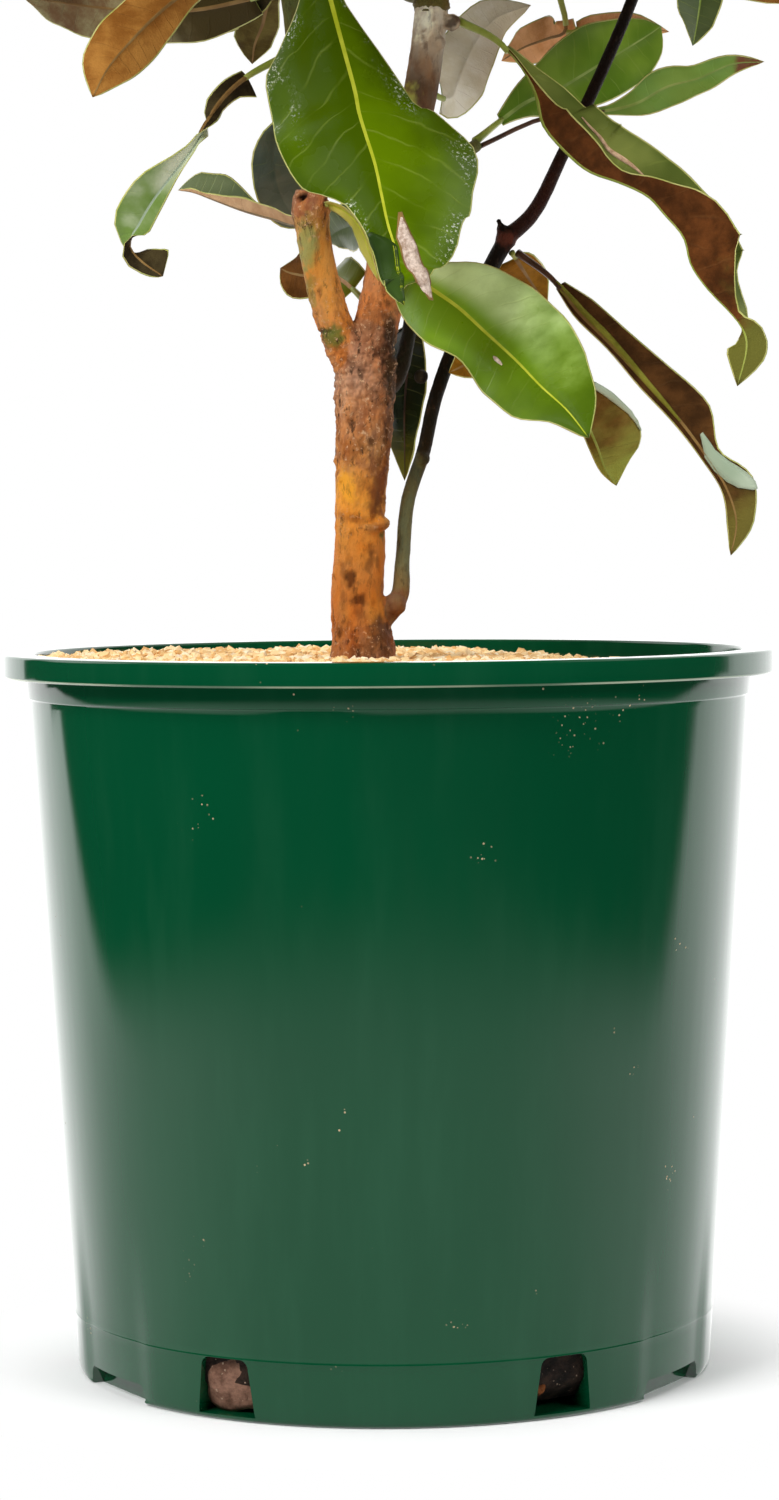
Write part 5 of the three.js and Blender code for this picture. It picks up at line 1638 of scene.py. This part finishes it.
class Spray:
    """The places of the leaves of one tier: base, turn, size, kind and tone of each."""

    def __init__(self):
        self.bases, self.turns, self.sizes, self.kinds, self.tones = [], [], [], [], []

    def add_leaf(self, dice, base, heading, up, size, tone):
        for _ in range(9):
            if fits(base, heading, size * LEAF_SPAN):
                break
            heading = (heading + UP * 0.22).normalized()
            size *= 0.97
        else:
            return
        up = (up - heading * up.dot(heading)).normalized()
        side = heading.cross(up)
        turn = Matrix((side, heading, up)).transposed().to_euler()
        self.bases.append(base * MM)
        self.turns.append(turn)
        self.sizes.append(size)
        self.kinds.append(dice.randrange(len(LEAF_KINDS)))
        self.tones.append(tone)


def grow_shoot(dice, spray, twigs, buds, foot, heading, length, tone, radii, leaves, bare):
    """Grows a shoot, which bends up, with its leaves and its bud. Returns its line."""
    line = [foot]
    for _ in range(3):
        line.append(line[-1] + heading * (length / 3))
        heading = (heading + UP * 0.28 + Vector([dice.uniform(-0.12, 0.12) for _ in range(3)])).normalized()
    rows = max(int(length / 3), 5)
    spots = [stem_line(line, i / rows) * MM for i in range(rows + 1)]
    twigs.add(*tube(spots, [between(radii, i / rows) * MM for i in range(rows + 1)], TWIG_SIDES,
                    lambda row, angle: 1 + (0.22 if row % 3 == 0 else 0.0)))
    spin = dice.uniform(0, 6.28)
    for j in range(leaves):
        at = j / max(leaves - 1, 1)
        share = bare + (0.97 - bare) * at ** 0.85
        base = stem_line(line, share)
        axis = (stem_line(line, min(share + 0.05, 1.0)) - stem_line(line, share - 0.05)).normalized()
        flat = axis.orthogonal().normalized()
        turn = spin + GOLDEN_ANGLE * j + dice.uniform(-0.25, 0.25)
        out = flat * math.cos(turn) + axis.cross(flat) * math.sin(turn)
        angle = math.radians(80 - 52 * at ** 1.3 + dice.uniform(-9, 9))
        leaf_heading = (axis * math.cos(angle) + out * math.sin(angle) + UP * 0.08).normalized()
        size = (0.95 + 0.3 * math.sin(math.pi * (0.25 + 0.6 * at))) * dice.uniform(0.88, 1.08) - 0.06
        up = axis + UP * 0.35 + Vector([dice.uniform(-0.2, 0.2) for _ in range(3)])
        if at > 0.8 and dice.random() < 0.7:
            spray.add_leaf(dice, base, leaf_heading, up, size * YOUNG_SIZE, YOUNG_TONE)
        else:
            spray.add_leaf(dice, base, leaf_heading, up, size, tone)
    end, axis = line[-1], (stem_line(line, 1.0) - stem_line(line, 0.93)).normalized()
    middles = [(end + axis * z) * MM for z, _ in BUD_LINE]
    buds.add(*tube(middles, [r * MM for _, r in BUD_LINE], TWIG_SIDES))
    return line


def grow_mass(dice, spray, twigs, buds, foot, heading, centre, spread, depth):
    """Fills one mass: a main shoot to above its middle, and side twigs spread round it."""
    aim = centre + UP * (0.1 * depth) - foot
    heading = (heading * 0.4 + aim.normalized()).normalized()
    length = max(aim.length, 0.45 * depth) + 0.15 * depth
    tone = dice.randrange(OLD_TONES)
    line = grow_shoot(dice, spray, twigs, buds, foot, heading, length, tone, **MAIN_SHOOT)
    spin = dice.uniform(0, 6.28)
    for k, share in enumerate(TWIG_SHARES):
        base = stem_line(line, share)
        turn = spin + k * GOLDEN_ANGLE
        out = Vector((math.cos(turn), math.sin(turn), 0))
        side = (out * 0.9 + heading * 0.45 + UP * dice.uniform(-0.1, 0.3)).normalized()
        length = spread * dice.uniform(0.42, 0.58)
        twig_tone = (tone + (1 if dice.random() < 0.4 else 0)) % OLD_TONES
        grow_shoot(dice, spray, twigs, buds, base, side, length, twig_tone, **SIDE_SHOOT)


def foliage_tree(tones, felts, plain):
    """Puts a leaf on each point, picked, turned and sized by its attributes, and deals out materials."""
    tree, source, target = geometry_tree("place_leaves", [("Leaves", "NodeSocketCollection")])

    def named(kind, name):
        return node(tree, "GeometryNodeInputNamedAttribute", {0: name}, data_type=kind).outputs[0]

    def is_value(value, wanted):
        sockets = {2: value, 3: wanted}
        return node(tree, "FunctionNodeCompare", sockets, data_type="INT", operation="EQUAL").outputs[0]

    def both(a, b):
        return node(tree, "FunctionNodeBooleanMath", {0: a, 1: b}, operation="AND").outputs[0]

    def dress(shape, chosen, material):
        sockets = {"Geometry": shape, "Selection": chosen, "Material": material}
        return node(tree, "GeometryNodeSetMaterial", sockets).outputs[0]

    leaves = children(tree, source.outputs["Leaves"])
    turn = node(tree, "FunctionNodeEulerToRotation", {0: named("FLOAT_VECTOR", "leaf_turn")}).outputs[0]
    placed = node(tree, "GeometryNodeInstanceOnPoints", {
        "Points": source.outputs["Geometry"], "Instance": leaves, "Pick Instance": True,
        "Instance Index": named("INT", "leaf_kind"), "Rotation": turn, "Scale": named("FLOAT", "leaf_size")})
    shape = node(tree, "GeometryNodeRealizeInstances", {0: placed.outputs[0]}).outputs[0]
    part, tone = named("INT", "leaf_part"), named("INT", "leaf_tone")
    for number, (face, felt) in enumerate(zip(tones, felts)):
        for slot, material in ((0, face), (3, felt)):
            shape = dress(shape, both(is_value(part, slot), is_value(tone, number)), material)
    for slot, material in plain.items():
        shape = dress(shape, is_value(part, slot), material)
    tree.links.new(shape, target.inputs[0])
    return tree


def bud_down():
    """Bud scales covered in short silky hair, grey-green with rust."""
    made, tree, shader, place = new_material("bud_down", Roughness=0.75, Sheen_Weight=0.3)
    paint(tree, shader, clouded(tree, place, ("8a6a3c", "a8905c"), 700))
    return made


kinds = collect("leaf_kinds", [leaf_kind(number) for number in range(len(LEAF_KINDS))])
tone_faces = [leaf_face("foliage_deep", "30480a", "42600e"), leaf_face("foliage_mid", "3c5c0a", "527410"),
              leaf_face("foliage_green", "48640a", "5e8014"), leaf_face("foliage_young", "627e1a", "809c32")]
tone_felts = [FELTS["brown"], FELTS["rust"], FELTS["olive"], FELTS["rust"]]
plain_parts = {1: RIB, 2: MARGIN_PALE, 4: BACK_RIB, 5: STALK}
deal = foliage_tree(tone_faces, tone_felts, plain_parts)
dice = random.Random(23)
twigs, buds = Joined(), Joined()
masses.append(("crown_top", Vector(STEMS["leader"][0][-1]), UP, Vector((5, 0, 936)), 68, 76))
left_end = [Vector(p) for p in STEMS["left_shoot"][0][-2:]]
right_end = [Vector(p) for p in STEMS["base_shoot_top"][0][-2:]]
for name, end, centre, spread, depth in (("crown_left", left_end, Vector((-106, -14, 545)), 76, 56),
                                         ("crown_right", right_end, Vector((122, 30, 556)), 76, 58)):
    masses.append((name, end[1], (end[1] - end[0]).normalized(), centre, spread, depth))
groups = {"side": ("left", "right"), "low": ("low",), "middle": ("middle",), "upper": ("upper",),
          "top": ("high", "top")}
for group, tiers in groups.items():
    spray = Spray()
    nodes = []
    for name, foot, heading, centre, spread, depth in masses:
        if name.split("_")[1] in tiers:
            grow_mass(dice, spray, twigs, buds, foot, heading, centre, spread, depth)
            nodes.append(name)
    points = mesh_object(f"foliage_{group}", spray.bases, [])
    set_attribute(points.data, "leaf_turn", "FLOAT_VECTOR", [a for turn in spray.turns for a in turn])
    for key, kind, values in (("leaf_size", "FLOAT", spray.sizes), ("leaf_kind", "INT", spray.kinds),
                              ("leaf_tone", "INT", spray.tones)):
        set_attribute(points.data, key, kind, values)
    run_tree(points, deal, Leaves=kinds)
    finish_piece(points, "foliage", *nodes)
all_crowns = [name for name, *_ in masses]
crown_twigs = mesh_object("crown_twigs", twigs.vertices, twigs.faces, [bark("green_twig", "7a7a3a")])
finish_piece(crown_twigs, "foliage", *all_crowns)
crown_buds = mesh_object("crown_buds", buds.vertices, buds.faces, [bud_down()])
finish_piece(crown_buds, "foliage", *all_crowns)
